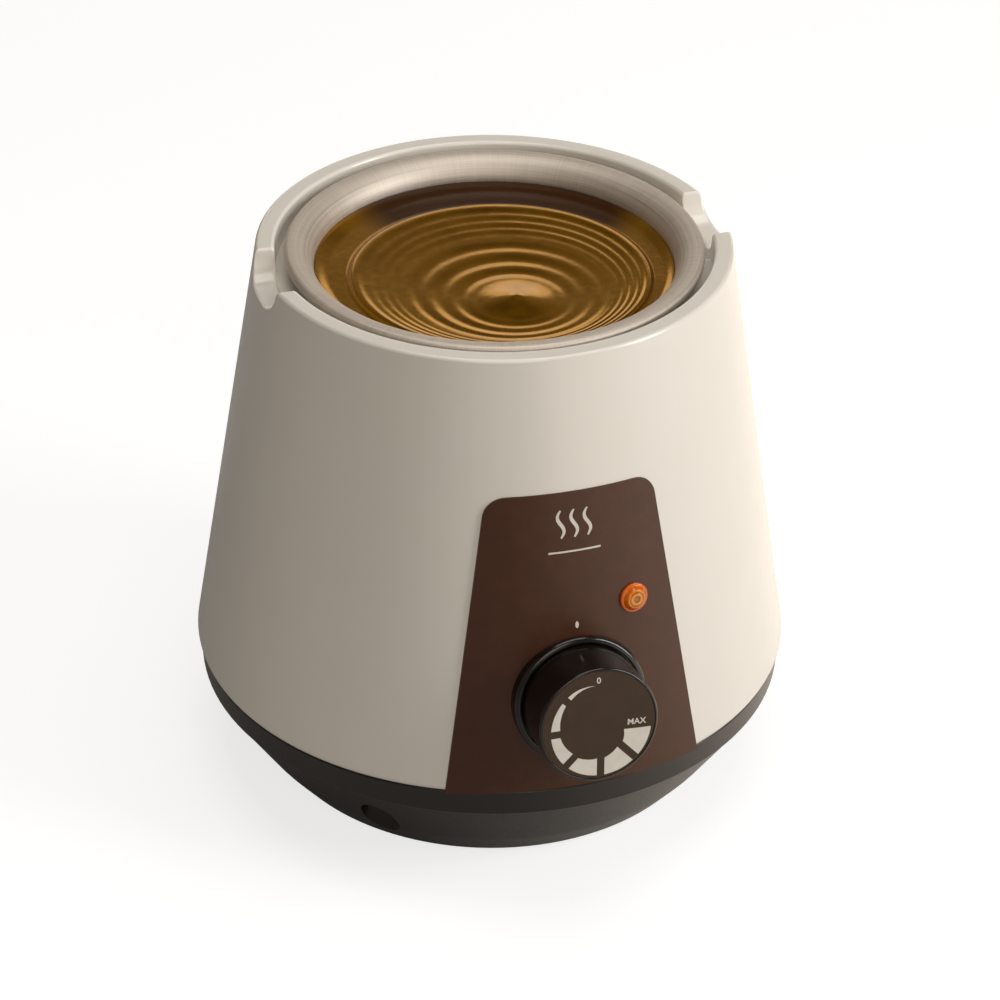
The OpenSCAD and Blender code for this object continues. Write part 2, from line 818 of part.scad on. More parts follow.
module thermostat_spindle() {
    color(aluminium)
        on_panel(0, dial_z)
            difference() {
                translate([0, 0, -spindle_tail])
                    rod(spindle_r, spindle_tail + spindle_tip);
                translate([-spindle_r, flat_y, hub_z - cut])
                    cube([2 * spindle_r, spindle_r, spindle_tip]);
            }
}

// Flat plug-on tab: width across X, thickness along Z, running from y = 0 towards -Y
module tab(w, l) {
    translate([-w / 2, -l, 0])
        cube([w, l, tab_t]);
}

module thermostat_body() {
    color(steel)
        on_panel(0, dial_z)
            difference() {
                union() {
                    translate([-bracket_w / 2, -bracket_h / 2, -case_z])
                        cube([bracket_w, bracket_h, bracket_t]);
                    translate([-case_w / 2, -case_h / 2, -case_z - case_l])
                        cube([case_w, case_h, case_l]);
                    translate([0, 0, -case_z])
                        rod(dial_collar_r, case_z - panel_t);
                    for (s = [-1, 1])
                        translate([s * tab_pitch / 2, -case_h / 2, -tab_z])
                            tab(tab_w, tab_l);
                    translate([case_w / 2, 0, -tab_z])
                        rotate([0, 0, 90])
                            tab(tab_w, tab_l);
                }
                translate([0, 0, -spindle_tail - seat_gap])
                    rod(spindle_r + run_gap, spindle_tail + case_z);
                at_dial_screws()
                    translate([0, 0, -case_z - shell_t])
                        rod(dial_screw_r + thread_gap, case_z);
            }
}

module thermostat_screws() {
    head_z = fit_gap + bezel_floor_t;
    color(steel)
        on_panel(0, dial_z)
            at_dial_screws()
                translate([0, 0, head_z])
                    mirror([0, 0, 1])
                        screw(dial_screw_r, head_z + case_z + shell_t / 2, screw_head_r, screw_head_h);
}

module pilot_lamp_lens() {
    dome_share = [0.86, 0.62, 0.34]; // of the lens's radius, the steps of its dome
    color(amber)
        on_panel(lamp_az, lamp_z)
            translate([0, 0, glue_gap]) {
                turned([[0, 0], [lens_r, 0], [lens_r, lens_edge_h, lens_edge_h / 2],
                    [lens_r * dome_share[0], lens_edge_h], [lens_r * dome_share[1], lens_h, lens_edge_h],
                    [0, lens_h]]);
                translate([0, 0, -lens_tail])
                    rod(lamp_body_r - lamp_wall_t - fit_gap, lens_tail + lens_edge_h / 2);
            }
}

module pilot_lamp_body() {
    color(black)
        on_panel(lamp_az, lamp_z)
            translate([0, 0, -lamp_body_l])
                difference() {
                    union() {
                        rod(lamp_body_r, lamp_body_l - fit_gap);
                        for (s = [-1, 1])
                            translate([s * lamp_tab_pitch / 2 - tab_t / 2, -lamp_tab_w / 2, -lamp_tab_l])
                                cube([tab_t, lamp_tab_w, lamp_tab_l + cut]);
                    }
                    translate([0, 0, 2 * lamp_wall_t])
                        rod(lamp_body_r - lamp_wall_t, lamp_body_l);
                }
}

module pilot_lamp_nut() {
    color(steel)
        on_panel(lamp_az, lamp_z)
            translate([0, 0, -lamp_pad_depth - lamp_nut_t])
                difference() {
                    cylinder(r = lamp_nut_r, h = lamp_nut_t, $fn = 6);
                    translate([0, 0, -cut])
                        rod(lamp_body_r + thread_gap, lamp_nut_t + 2 * cut);
                }
}

module pot() {
    bead = pot_bead_d / 2;
    color(steel)
        turned([[0, pot_floor_z], [pot_floor_r, pot_floor_z, pot_corner_r], [pot_r, pot_crest_z, pot_bend_r],
            [pot_edge_r, pot_crest_z, bead], [pot_edge_r, pot_crest_z - pot_bead_d, bead],
            [pot_edge_r - pot_bead_d, pot_crest_z - pot_bead_d, bead / 2],
            [pot_edge_r - pot_bead_d, pot_crest_z - pot_t],
            [pot_r + pot_t, pot_crest_z - pot_t, pot_bend_r - pot_t],
            [pot_floor_r + pot_t, pot_under_z, pot_corner_r + pot_t], [0, pot_under_z]]);
}

module melted_chocolate() {
    bottom = pot_floor_z + seat_gap;
    wall_r = pot_r - (pot_r - pot_floor_r) * (pot_crest_z - fill_z) / pot_depth - seat_gap;
    steps = ripples * wave_steps;
    color(chocolate)
        turned(concat([for (i = [0:steps]) let (r = wall_r * i / steps) [r, fill_z + ripple(r, wall_r)]],
            [[pot_floor_r - seat_gap, bottom, pot_corner_r], [0, bottom]]));
}

module heating_well() {
    color(aluminium)
    difference() {
        turned([[0, well_floor_z], [well_in_r, well_floor_z, well_corner_r], [well_in_r, floor_under_z],
            [well_flange_r, floor_under_z], [well_flange_r, floor_under_z - well_t],
            [well_out_r, floor_under_z - well_t, well_t], [well_out_r, well_under_z, well_corner_r + well_t],
            [0, well_under_z]]);
        at_well_screws()
            translate([0, 0, floor_under_z - well_t - cut])
                rod(well_screw_r + screw_gap, well_t + 2 * cut);
        at_cutout()
            for (s = [-1, 1])
                translate([s * cutout_pitch / 2, 0, -cut])
                    rod(m3_r + thread_gap, well_t + 2 * cut);
        translate([earth_x, earth_y, well_under_z - cut])
            rod(earth_screw_r + thread_gap, well_t + 2 * cut);
    }
}

module well_screws() {
    color(steel)
        at_well_screws()
            translate([0, 0, floor_under_z - well_t])
                screw(well_screw_r, well_screw_l - seat_gap, m3_head_r, m3_head_h);
}

// Open band: a ring from radius r_in to r_out and from z to z + h, with a gap at the back
module band(r_in, r_out, z, h, gap) {
    difference() {
        translate([0, 0, z])
            rod(r_out, h);
        translate([0, 0, z - cut])
            rod(r_in, h + 2 * cut);
        translate([-gap / 2, 0, z - cut])
            cube([gap, 2 * r_out, h + 2 * cut]);
    }
}

module band_heater() {
    color(heater_red)
        band(heater_in_r, heater_out_r, heater_z, heater_h, heater_gap_w);
}

module at_straps() {
    for (share = [strap_share, 1 - strap_share])
        translate([0, 0, heater_z + heater_h * share])
            children();
}

module heater_straps() {
    color(steel)
        at_straps()
            difference() {
                union() {
                    band(strap_in_r, strap_out_r, -strap_w / 2, strap_w, ear_gap + ear_t);
                    for (s = [-1, 1])
                        translate([s * (ear_gap + ear_t) / 2 - ear_t / 2, strap_in_r - fit_gap / 2, -strap_w / 2])
                            cube([ear_t, ear_l, strap_w]);
                }
                translate([-ear_gap, strap_out_r + strap_bolt_out, 0])
                    rotate([0, 90, 0])
                        rod(strap_bolt_r + screw_gap, 2 * ear_gap);
            }
}

// Frames on the straps' bolts, with +Z along the bolt and z = 0 under its head
module at_strap_bolts() {
    at_straps()
        translate([-ear_gap / 2 - ear_t, strap_out_r + strap_bolt_out, 0])
            rotate([0, 90, 0])
                children();
}

module strap_bolts() {
    color(steel)
        at_strap_bolts()
            screw(strap_bolt_r, ear_gap + 2 * ear_t + m3_head_h + strap_bolt_r, m3_head_r, m3_head_h);
}

module strap_nuts() {
    color(steel)
        at_strap_bolts()
            translate([0, 0, ear_gap + 2 * ear_t])
                difference() {
                    cylinder(r = m3_head_r, h = m3_head_h, $fn = 6);
                    translate([0, 0, -cut])
                        rod(strap_bolt_r + thread_gap, m3_head_h + 2 * cut);
                }
}

module insulation_jacket() {
    color(wool)
        band(jacket_in_r, jacket_in_r + jacket_t, jacket_z, jacket_h, jacket_gap_w);
}

module sensing_bulb() {
    color(copper)
        translate([-bulb_l / 2, bulb_y, bulb_z])
            rotate([0, 90, 0])
                rod(bulb_r, bulb_l);
}

module bulb_clips() {
    out_r = bulb_r + fit_gap + clip_sheet_t;
    reach = out_r + clip_tab_w;
    color(steel)
        for (s = [-1, 1])
            translate([s * bulb_l * clip_share - clip_len / 2, bulb_y, bulb_z])
                difference() {
                    union() {
                        rotate([0, 90, 0])
                            rod(out_r, clip_len);
                        translate([0, -reach, well_under_z - bulb_z - clip_sheet_t])
                            cube([clip_len, 2 * reach, clip_sheet_t]);
                    }
                    translate([-cut, 0, 0])
                        rotate([0, 90, 0])
                            rod(bulb_r + fit_gap / 2, clip_len + 2 * cut);
                    translate([-cut, -reach, well_under_z - bulb_z])
                        cube([clip_len + 2 * cut, 2 * reach, out_r]);
                }
}

// Frame under the well at the cut-out, with +Z up into the well's floor
module at_cutout() {
    translate([cutout_x, 0, well_under_z])
        children();
}

module thermal_cutout() {
    color(black)
        at_cutout()
            difference() {
                union() {
                    translate([0, 0, -cutout_h])
                        rod(cutout_r, cutout_h);
                    for (s = [-1, 1])
                        translate([s * cutout_pitch / 2, 0, -cutout_plate_t])
                            rod(cutout_plate_r, cutout_plate_t);
                    translate([-cutout_pitch / 2, -cutout_plate_r, -cutout_plate_t])
                        cube([cutout_pitch, 2 * cutout_plate_r, cutout_plate_t]);
                    for (a = [0, 180])
                        rotate([0, 0, a])
                            translate([0, -cutout_r + cut, cutout_tab_z - well_under_z])
                                tab(tab_w, tab_l + cut);
                }
                for (s = [-1, 1])
                    translate([s * cutout_pitch / 2, 0, -cutout_plate_t - cut])
                        rod(m3_r + screw_gap, cutout_plate_t + 2 * cut);
            }
}

module cutout_screws() {
    color(steel)
        at_cutout()
            for (s = [-1, 1])
                translate([s * cutout_pitch / 2, 0, -cutout_plate_t])
                    screw(m3_r, cutout_plate_t + well_t - seat_gap, m3_head_r, m3_head_h);
}

module earth_tag() {
    color(copper)
        translate([earth_x, earth_y, well_under_z - tag_t])
            difference() {
                union() {
                    rod(tag_r, tag_t);
                    translate([-tag_r / 2, 0, 0])
                        cube([tag_r, tag_l, tag_t]);
                }
                translate([0, 0, -cut])
                    rod(earth_screw_r + screw_gap, tag_t + 2 * cut);
            }
}

module earth_screw() {
    color(steel)
        translate([earth_x, earth_y, well_under_z - tag_t])
            screw(earth_screw_r, tag_t + well_t - seat_gap, screw_head_r, screw_head_h);
}

module at_terminals() {
    for (i = [-1:1])
        translate([block_x + i * block_pitch, block_y, 0])
            children();
}

module terminal_block() {
    top_z = base_floor_z + block_post_h + block_h;
    color(block_white)
    difference() {
        translate([block_x - block_w / 2, block_front_y, base_floor_z + block_post_h])
            cube([block_w, block_d, block_h]);
        at_terminals() {
            translate([0, -block_d / 2 - cut, block_hole_z])
                rotate([-90, 0, 0])
                    rod(insert_r + fit_gap, block_d + 2 * cut);
            translate([0, 0, block_hole_z])
                rod(terminal_screw_r + fit_gap, top_z);
        }
        for (s = [-1, 1])
            translate([block_x + s * block_w * block_screw_share, block_y, base_floor_z]) {
                rod(m3_r + screw_gap, top_z);
                translate([0, 0, block_post_h + block_h / 3])
                    rod(m3_head_r + screw_gap, top_z);
            }
    }
}

module terminal_inserts() {
    color(brass)
        at_terminals()
            difference() {
                translate([0, -insert_l / 2, block_hole_z])
                    rotate([-90, 0, 0])
                        rod(insert_r, insert_l);
                translate([0, -block_d / 2, block_hole_z])
                    rotate([-90, 0, 0])
                        rod(block_hole_r, block_d);
                translate([0, 0, block_hole_z])
                    rod(terminal_screw_r + thread_gap, insert_r + cut);
            }
}

module terminal_screws() {
    color(steel)
        at_terminals()
            translate([0, 0, block_hole_z + block_hole_r - wire_bite])
                difference() {
                    rod(terminal_screw_r, terminal_screw_l);
                    translate([-terminal_screw_r, -tab_t / 2, terminal_screw_l - tab_t])
                        cube([2 * terminal_screw_r, tab_t, tab_t + cut]);
                }
}

module block_screws() {
    seat_z = base_floor_z + block_post_h + block_h / 3;
    color(steel)
        for (s = [-1, 1])
            translate([block_x + s * block_w * block_screw_share, block_y, seat_z])
                mirror([0, 0, 1])
                    screw(m3_r, seat_z - base_floor_z - seat_gap, m3_head_r, m3_head_h);
}

// Points on the wiring's ends, at the distance d out from each tab or terminal
function dial_tab(s, d) = panel_point(0, dial_z, [s * tab_pitch / 2, -case_h / 2 - tab_l - d, -tab_z + tab_t / 2]);
function side_tab(d) = panel_point(0, dial_z, [case_w / 2 + tab_l + d, 0, -tab_z + tab_t / 2]);
function lamp_tab(s, d) = panel_point(lamp_az, lamp_z, [s * lamp_tab_pitch / 2, 0, -lamp_body_l - lamp_tab_l - d]);
function cutout_tab(s, d) = [cutout_x, s * (cutout_r + tab_l + d), cutout_tab_z + tab_t / 2];
function terminal(i, s, d) = [block_x + i * block_pitch, block_y + s * (block_d / 2 + d), block_hole_z];
function heater_end(s, d) = [s * (heater_gap_w / 2 + 2 * lead_r), (heater_in_r + heater_out_r) / 2, heater_z - d];
function capillary_exit(d) = panel_point(0, dial_z, [capillary_out_x, -case_h / 2 - d, -case_z - bend]);

// Height at a share of the way from the base's floor to the well
function way_z(share) = base_floor_z + (well_under_z - base_floor_z) * share;

module capillary_tube() {
    bulb_end = [bulb_l / 2 + lead_gap, bulb_y, bulb_z];
    color(copper)
        lead([capillary_exit(lead_gap), capillary_exit(lead_out),
            [capillary_out_x + bend, capillary_exit(0).y + bend, way_z(high_share)],
            [bulb_end.x + 2 * bend, bulb_y - 2 * bend, way_z(high_share)],
            bulb_end + [lead_out, 0, 0], bulb_end], capillary_r);
}

module supply_lead() {
    from = terminal(-1, -1, 0);
    to = dial_tab(-1, 0);
    color(brown)
        lead([terminal(-1, -1, -lead_in), from, terminal(-1, -1, lead_out), [from.x, from.y - 5 * bend, way_z(low_share)],
            [to.x - 2 * bend, to.y + 3 * bend, way_z(low_share)], dial_tab(-1, lead_out), dial_tab(-1, lead_gap)],
            lead_r);
}

module cutout_lead() {
    from = dial_tab(1, 0);
    to = cutout_tab(-1, 0);
    color(brown)
        lead([dial_tab(1, lead_gap), dial_tab(1, lead_out), [from.x + bend / 2, from.y + 3 * bend, way_z(mid_share)],
            to - [0, 2 * bend, bend], cutout_tab(-1, lead_out), cutout_tab(-1, lead_gap)], lead_r);
}

module heater_leads() {
    side = cutout_tab(1, 0);
    back = terminal(-1, 1, 0);
    color(black) {
        lead([cutout_tab(1, lead_gap), cutout_tab(1, lead_out), [side.x, side.y + 3 * bend, way_z(mid_share)],
            heater_end(1, 3 * bend), heater_end(1, lead_out), heater_end(1, lead_gap)], lead_r);
        lead([terminal(-1, 1, -lead_in), back, terminal(-1, 1, lead_out),
            [back.x / 2, back.y + 3 * bend, way_z(mid_share)], heater_end(-1, 3 * bend),
            heater_end(-1, lead_out), heater_end(-1, lead_gap)], lead_r);
    }
}

module lamp_leads() {
    side = side_tab(0);
    color(black) {
        lead([lamp_tab(-1, lead_gap), lamp_tab(-1, lead_out), side + [2 * bend, 0, bend], side_tab(lead_out),
            side_tab(lead_gap)], lead_r);
        lead([lamp_tab(1, lead_gap), lamp_tab(1, lead_out), side + [3 * bend, bend, 0],
            [side.x + bend, side.y + 2 * bend, way_z(mid_share)], [0, side.y / 2, way_z(low_share)],
            terminal(1, -1, lead_out), terminal(1, -1, 0), terminal(1, -1, -lead_in)], lead_r);
    }
}

module earth_lead() {
    to = [earth_x, earth_y + tag_l, well_under_z - tag_t - lead_r - lead_gap];
    from = terminal(0, -1, 0);
    color(green)
        lead([terminal(0, -1, -lead_in), from, terminal(0, -1, lead_out), [from.x, (from.y + to.y) / 2, way_z(mid_share)],
            to + [0, lead_out, 0], to - [0, lead_out / 2, 0]], lead_r);
}

body_shell();
base_tray();
base_screws();
foot_ring();
cord_gland();
gland_nut();
control_panel();
knob_bezel();
knob();
dial_disc();
knob_clip();
thermostat_spindle();
thermostat_body();
thermostat_screws();
capillary_tube();
sensing_bulb();
bulb_clips();
pilot_lamp_lens();
pilot_lamp_body();
pilot_lamp_nut();
pot();
melted_chocolate();
heating_well();
well_screws();
band_heater();
heater_straps();
strap_bolts();
strap_nuts();
insulation_jacket();
thermal_cutout();
cutout_screws();
earth_tag();
earth_screw();
terminal_block();
terminal_inserts();
terminal_screws();
block_screws();
supply_lead();
cutout_lead();
heater_leads();
lamp_leads();
earth_lead();
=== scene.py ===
"""Looks of the electric chocolate melting pot: its visible pieces, finishes, studio and camera."""

import json
import math

import bmesh
import bpy
import numpy as np
from mathutils import Matrix, Vector


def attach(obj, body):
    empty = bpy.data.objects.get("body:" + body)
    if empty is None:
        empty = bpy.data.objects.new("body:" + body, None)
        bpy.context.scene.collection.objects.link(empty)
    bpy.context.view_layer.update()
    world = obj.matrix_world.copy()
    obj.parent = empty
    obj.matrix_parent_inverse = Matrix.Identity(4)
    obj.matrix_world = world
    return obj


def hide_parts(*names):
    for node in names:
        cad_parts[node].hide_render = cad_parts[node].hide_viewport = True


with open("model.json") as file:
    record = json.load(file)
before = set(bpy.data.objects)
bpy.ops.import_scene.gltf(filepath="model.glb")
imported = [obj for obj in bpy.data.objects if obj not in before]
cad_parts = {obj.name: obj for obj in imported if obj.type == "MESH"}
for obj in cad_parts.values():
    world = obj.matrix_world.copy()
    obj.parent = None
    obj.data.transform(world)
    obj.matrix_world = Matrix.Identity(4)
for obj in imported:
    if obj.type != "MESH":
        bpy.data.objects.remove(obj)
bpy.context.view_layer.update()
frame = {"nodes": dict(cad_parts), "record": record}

# Sizes of the part in millimetres. Pieces are made in millimetres and turned into metres at the end.
MM = 0.001
# Points closer than WELD are one point, and a point lies on an edge when it is within NEAR
WELD = 0.001
NEAR = 0.02

TOTAL_H = 246
RIM_R = 99.1
SKIRT_R = 130.2
SEAM_Z = 57
SHELL_T = 3
RIM_W = 7.9
RIM_T = 3
COLLAR_T = 2.5
RIM_ROUND = 1.6
SKIRT_ROUND = 2.4
SLOPE = (SKIRT_R - RIM_R) / (TOTAL_H - SEAM_Z)
TILT = math.atan(SLOPE)
SHELL_DR = SHELL_T / math.cos(TILT)
RIM_IN_R = RIM_R - RIM_W
COLLAR_R = RIM_IN_R + COLLAR_T
HOLLOW_Z = TOTAL_H - RIM_T

CHANNEL_Z = 234
CHANNEL_UNDER_Z = 229.5
LIP_R = 79.4
LIP_T = 2.5
LIP_TOP_Z = 241.4
LIP_ROUND = 0.7
CHANNEL_ROUND = 1.2

NOTCH_W = 36.4
NOTCH_H = 11.8
NOTCH_ROUND = 11
NOTCH_WALL_TURN = math.radians(84)
NOTCH_WALL_W = 0.1
NOTCH_LIP_ROUND = 1.5
NOTCH_RAMP_Z = 224
NOTCH_EASE_H = 20
NOTCH_EASE_TURNS = (16, 40)

POT_R = 75.4
POT_FLOOR_R = 72
POT_EDGE_R = 87.5
POT_BEND_R = 9.6
POT_CORNER_R = 22
POT_T = 1
POT_BEAD_D = 4.2
POT_CREST_Z = 244.8
POT_FLOOR_Z = 72.8

FILL_Z = 235
CHOCOLATE_R = 74.9
CHOCOLATE_FLOOR_Z = 73.1
CHOCOLATE_FLOOR_R = 71.7

PANEL_T = 0.8
INK_T = 0.04

DIAL_Z = 98.7
KNOB_R = 25.1
KNOB_H = 25.8
KNOB_T = 2.2
KNOB_ROUND = 0.9
KNOB_FOOT_Z = 1.8
KNOB_TOP_T = 2
KNOB_EDGE_ROUND = 0.3
KNOB_ROUND_SLACK = 0.05
FACE_EDGE_W = 1.2
FACE_RECESS = 0.7
DISC_Z = KNOB_H - FACE_RECESS
DISC_R = KNOB_R - FACE_EDGE_W
DISC_T = 0.5
DISC_ROUND = 0.15
HUB_R = 7
HUB_Z = 5
HUB_ROOT_ROUND = 0.5
HUB_END_ROUND = 0.4
BEZEL_R = 28.2
BEZEL_H = 3
BEZEL_IN_R = 25.6
BEZEL_ROUND = 1.9
BEZEL_EDGE_ROUND = 0.3
BEZEL_SKIRT_H = 2
BEZEL_FLOOR_T = 1.2
BEZEL_HOLE_R = 8
FIT_GAP = 0.1

LAMP_AZ = math.radians(12.3)
LAMP_Z = 137.8
LENS_R = 6.3
LENS_EDGE_H = 1.2
LENS_EDGE_ROUND = 0.55
LENS_H = 3.2
LENS_TOP_R = 1.6
LENS_TOP_ROUND = 0.4
LENS_DOME_DROP = 0.35
LENS_DOME_ROUND = 0.6
LENS_DOME_SHARE = 0.62
LENS_FOOT_SHARE = 0.86
LENS_FOOT_ROUND = 0.4
LENS_LIFT = 0.05
LENS_TAIL = 3
LENS_TAIL_R = 4.2
LENS_RING_PITCH = 0.9
LENS_GLOW_R = 3.2
LENS_RIM_R = 6.2

# Fineness of the turned meshes
SHELL_COLUMNS = 960
POT_COLUMNS = 360
CHOCOLATE_COLUMNS = 300
CHOCOLATE_RINGS = 160
TURNED_COLUMNS = 240
LENS_COLUMNS = 96
NOTCH_CURVE_STEPS = 40
NOTCH_LIP_STEPS = 16
ROUND_STEP = 0.5
ROUND_STEPS_MIN = 4
ROUND_STEPS_MAX = 18
SHARP_ANGLE = math.radians(35)


def shell_r(z):
    """Radius of the shell's outside at height z."""
    return RIM_R + (TOTAL_H - z) * SLOPE


def face_r(z):
    """Radius of the control panel's outside at height z."""
    return shell_r(z) + PANEL_T / math.cos(TILT)


def smooth_share(low, high, value):
    """0 below low, 1 above high, and an even rise between them."""
    share = min(1, max(0, (value - low) / (high - low)))
    return share * share * (3 - 2 * share)


def round_ring(bm, r, z, rounding):
    """Rounds the edge that runs round the axis at radius r and height z."""
    corner = {v for v in bm.verts if abs(v.co.z - z) < NEAR and abs(v.co.xy.length - r) < NEAR}
    ring = [e for e in bm.edges if e.verts[0] in corner and e.verts[1] in corner]
    turn = ring[0].calc_face_angle()
    steps = round(rounding * turn / ROUND_STEP)
    bmesh.ops.bevel(
        bm,
        geom=ring,
        offset=rounding * math.tan(turn / 2),
        offset_type="OFFSET",
        segments=min(ROUND_STEPS_MAX, max(ROUND_STEPS_MIN, steps)),
        profile=0.5,
        affect="EDGES",
        material=-1,
    )


def spun(corners, columns=TURNED_COLUMNS, closed=True):
    """A turned body: its half outline [r, z, rounding] spun round the upright axis."""
    bm = bmesh.new()
    points = [bm.verts.new((r, 0, z)) for r, z, rounding in corners]
    stretches = list(zip(points, points[1:]))
    if closed:
        stretches.append((points[-1], points[0]))
    edges = [bm.edges.new(stretch) for stretch in stretches]
    bmesh.ops.spin(
        bm,
        geom=points + edges,
        cent=(0, 0, 0),
        axis=(0, 0, 1),
        angle=2 * math.pi,
        steps=columns,
        use_merge=True,
    )
    bmesh.ops.remove_doubles(bm, verts=bm.verts, dist=WELD)
    for r, z, rounding in corners:
        if rounding:
            round_ring(bm, r, z, rounding)
    bmesh.ops.recalc_face_normals(bm, faces=bm.faces)
    return bm


def panel_frame(azimuth, z):
    """Place on the panel's face: +Z points out of it and +Y up along it."""
    return (
        Matrix.Rotation(azimuth, 4, "Z")
        @ Matrix.Translation((0, -face_r(z), z))
        @ Matrix.Rotation(math.pi / 2 - TILT, 4, "X")
    )


def finished_piece(name, bm, material, body, nodes=()):
    """Turns a piece into metres and sets it in the frame in the place of its CAD nodes."""
    bmesh.ops.scale(bm, vec=(MM, MM, MM), verts=bm.verts)
    mesh = bpy.data.meshes.new(name)
    bm.to_mesh(mesh)
    bm.free()
    mesh.shade_smooth()
    mesh.set_sharp_from_angle(angle=SHARP_ANGLE)
    mesh.materials.append(material)
    piece = bpy.data.objects.new(name, mesh)
    bpy.context.scene.collection.objects.link(piece)
    normals = piece.modifiers.new("weighted_normals", "WEIGHTED_NORMAL")
    normals.keep_sharp = True
    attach(piece, body)
    if nodes:
        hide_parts(*nodes)
    return piece


# Shader nodes


def tone(red, green, blue):
    """Linear colour of an sRGB tone given in 0 to 255."""
    shares = [c / 255 for c in (red, green, blue)]
    linear = [c / 12.92 if c <= 0.04045 else ((c + 0.055) / 1.055) ** 2.4 for c in shares]
    return (*linear, 1)


def set_inputs(tree, node, inputs):
    """Sets a node's inputs, each to a value or to another node's output."""
    for key, value in inputs.items():
        if isinstance(value, bpy.types.NodeSocket):
            tree.links.new(value, node.inputs[key])
        else:
            node.inputs[key].default_value = value


def add_node(tree, kind, inputs=None, **settings):
    """Adds a node with its settings and inputs."""
    node = tree.nodes.new(kind)
    for name, value in settings.items():
        setattr(node, name, value)
    set_inputs(tree, node, inputs or {})
    return node


def new_group(name, inputs, outputs):
    """An empty shader group with its sockets, and its input and output nodes."""
    tree = bpy.data.node_groups.new(name, "ShaderNodeTree")
    for socket, kind in inputs.items():
        tree.interface.new_socket(socket, in_out="INPUT", socket_type=kind)
    for socket, kind in outputs.items():
        tree.interface.new_socket(socket, in_out="OUTPUT", socket_type=kind)
    return tree, tree.nodes.new("NodeGroupInput"), tree.nodes.new("NodeGroupOutput")


def math_node(tree, operation, first, second=0.0):
    """Output of a sum, product or other plain function of one or two values."""
    return add_node(tree, "ShaderNodeMath", {0: first, 1: second}, operation=operation).outputs[0]


def vector_node(tree, operation, first, second=(0, 0, 0)):
    """Output of a plain function of vectors."""
    node = add_node(tree, "ShaderNodeVectorMath", {0: first, 1: second}, operation=operation)
    return node.outputs["Value" if operation == "LENGTH" else "Vector"]


def split_vector(tree, vector):
    """The X, Y and Z outputs of a vector."""
    return add_node(tree, "ShaderNodeSeparateXYZ", {"Vector": vector}).outputs


def joined_vector(tree, x, y):
    """A vector of two values."""
    return add_node(tree, "ShaderNodeCombineXYZ", {"X": x, "Y": y}).outputs["Vector"]


# Unevenness of a noise's fine steps, and the values that most of it lies between
NOISE_ROUGHNESS = 0.55
NOISE_REACH = (0.3, 0.7)


def noise_node(tree, vector, scale, detail):
    """Value of a noise at a scale per metre."""
    inputs = {"Vector": vector, "Scale": scale, "Detail": detail, "Roughness": NOISE_ROUGHNESS}
    return add_node(tree, "ShaderNodeTexNoise", inputs).outputs["Fac"]


def range_node(tree, value, low, high, to_low, to_high, steps="SMOOTHSTEP"):
    """Value carried from one range to another."""
    inputs = {"Value": value, "From Min": low, "From Max": high, "To Min": to_low, "To Max": to_high}
    return add_node(tree, "ShaderNodeMapRange", inputs, interpolation_type=steps).outputs["Result"]


# Sockets of the mix node that belong to colours
MIX_SHARE = 0
MIX_FIRST = 6
MIX_SECOND = 7
MIX_RESULT = 2


def colour_mix(tree, share, first, second):
    """Colour between two colours, each given or from a node."""
    inputs = {MIX_SHARE: share, MIX_FIRST: first, MIX_SECOND: second}
    return add_node(tree, "ShaderNodeMix", inputs, data_type="RGBA").outputs[MIX_RESULT]


def mottle_group():
    """Uneven shade of a moulded or cast surface, and its fine grain."""
    tree, start, end = new_group(
        "surface_mottle",
        {"Vector": "NodeSocketVector", "Cloud Scale": "NodeSocketFloat", "Grain Scale": "NodeSocketFloat"},
        {"Shade": "NodeSocketFloat", "Grain": "NodeSocketFloat"},
    )
    cloud = noise_node(tree, start.outputs["Vector"], start.outputs["Cloud Scale"], detail=4)
    grain = noise_node(tree, start.outputs["Vector"], start.outputs["Grain Scale"], detail=2)
    set_inputs(tree, end, {"Shade": range_node(tree, cloud, *NOISE_REACH, 0, 1), "Grain": grain})
    return tree


# How far the brushed lines wander on their way round, in metres, and how much the spokes bend with the radius
LINE_DRIFT = 0.0006
SPOKE_BEND_SHARE = 0.03


def brushing_group():
    """Fine lines that run round the upright axis, crossed by faint spokes."""
    tree, start, end = new_group(
        "ring_brushing",
        {"Vector": "NodeSocketVector", "Line Scale": "NodeSocketFloat", "Spoke Scale": "NodeSocketFloat"},
        {"Lines": "NodeSocketFloat", "Spokes": "NodeSocketFloat"},
    )
    parts = split_vector(tree, start.outputs["Vector"])
    flat = joined_vector(tree, parts["X"], parts["Y"])
    outward = vector_node(tree, "NORMALIZE", flat)
    rings = joined_vector(tree, vector_node(tree, "LENGTH", flat), parts["Z"])
    drift = vector_node(tree, "MULTIPLY", outward, (LINE_DRIFT, LINE_DRIFT, 0))
    lines = noise_node(tree, vector_node(tree, "ADD", rings, drift), start.outputs["Line Scale"], detail=5)
    bend = vector_node(tree, "MULTIPLY", rings, (SPOKE_BEND_SHARE, SPOKE_BEND_SHARE, 0))
    spokes = noise_node(tree, vector_node(tree, "ADD", outward, bend), start.outputs["Spoke Scale"], detail=4)
    set_inputs(tree, end, {"Lines": lines, "Spokes": spokes})
    return tree


MOTTLE = mottle_group()
BRUSHING = brushing_group()


def new_finish(name):
    """A new material with its tree, shader and object coordinates."""
    material = bpy.data.materials.new(name)
    material.use_nodes = True
    tree = material.node_tree
    shader = tree.nodes["Principled BSDF"]
    place = add_node(tree, "ShaderNodeTexCoord").outputs["Object"]
    return material, tree, shader, place


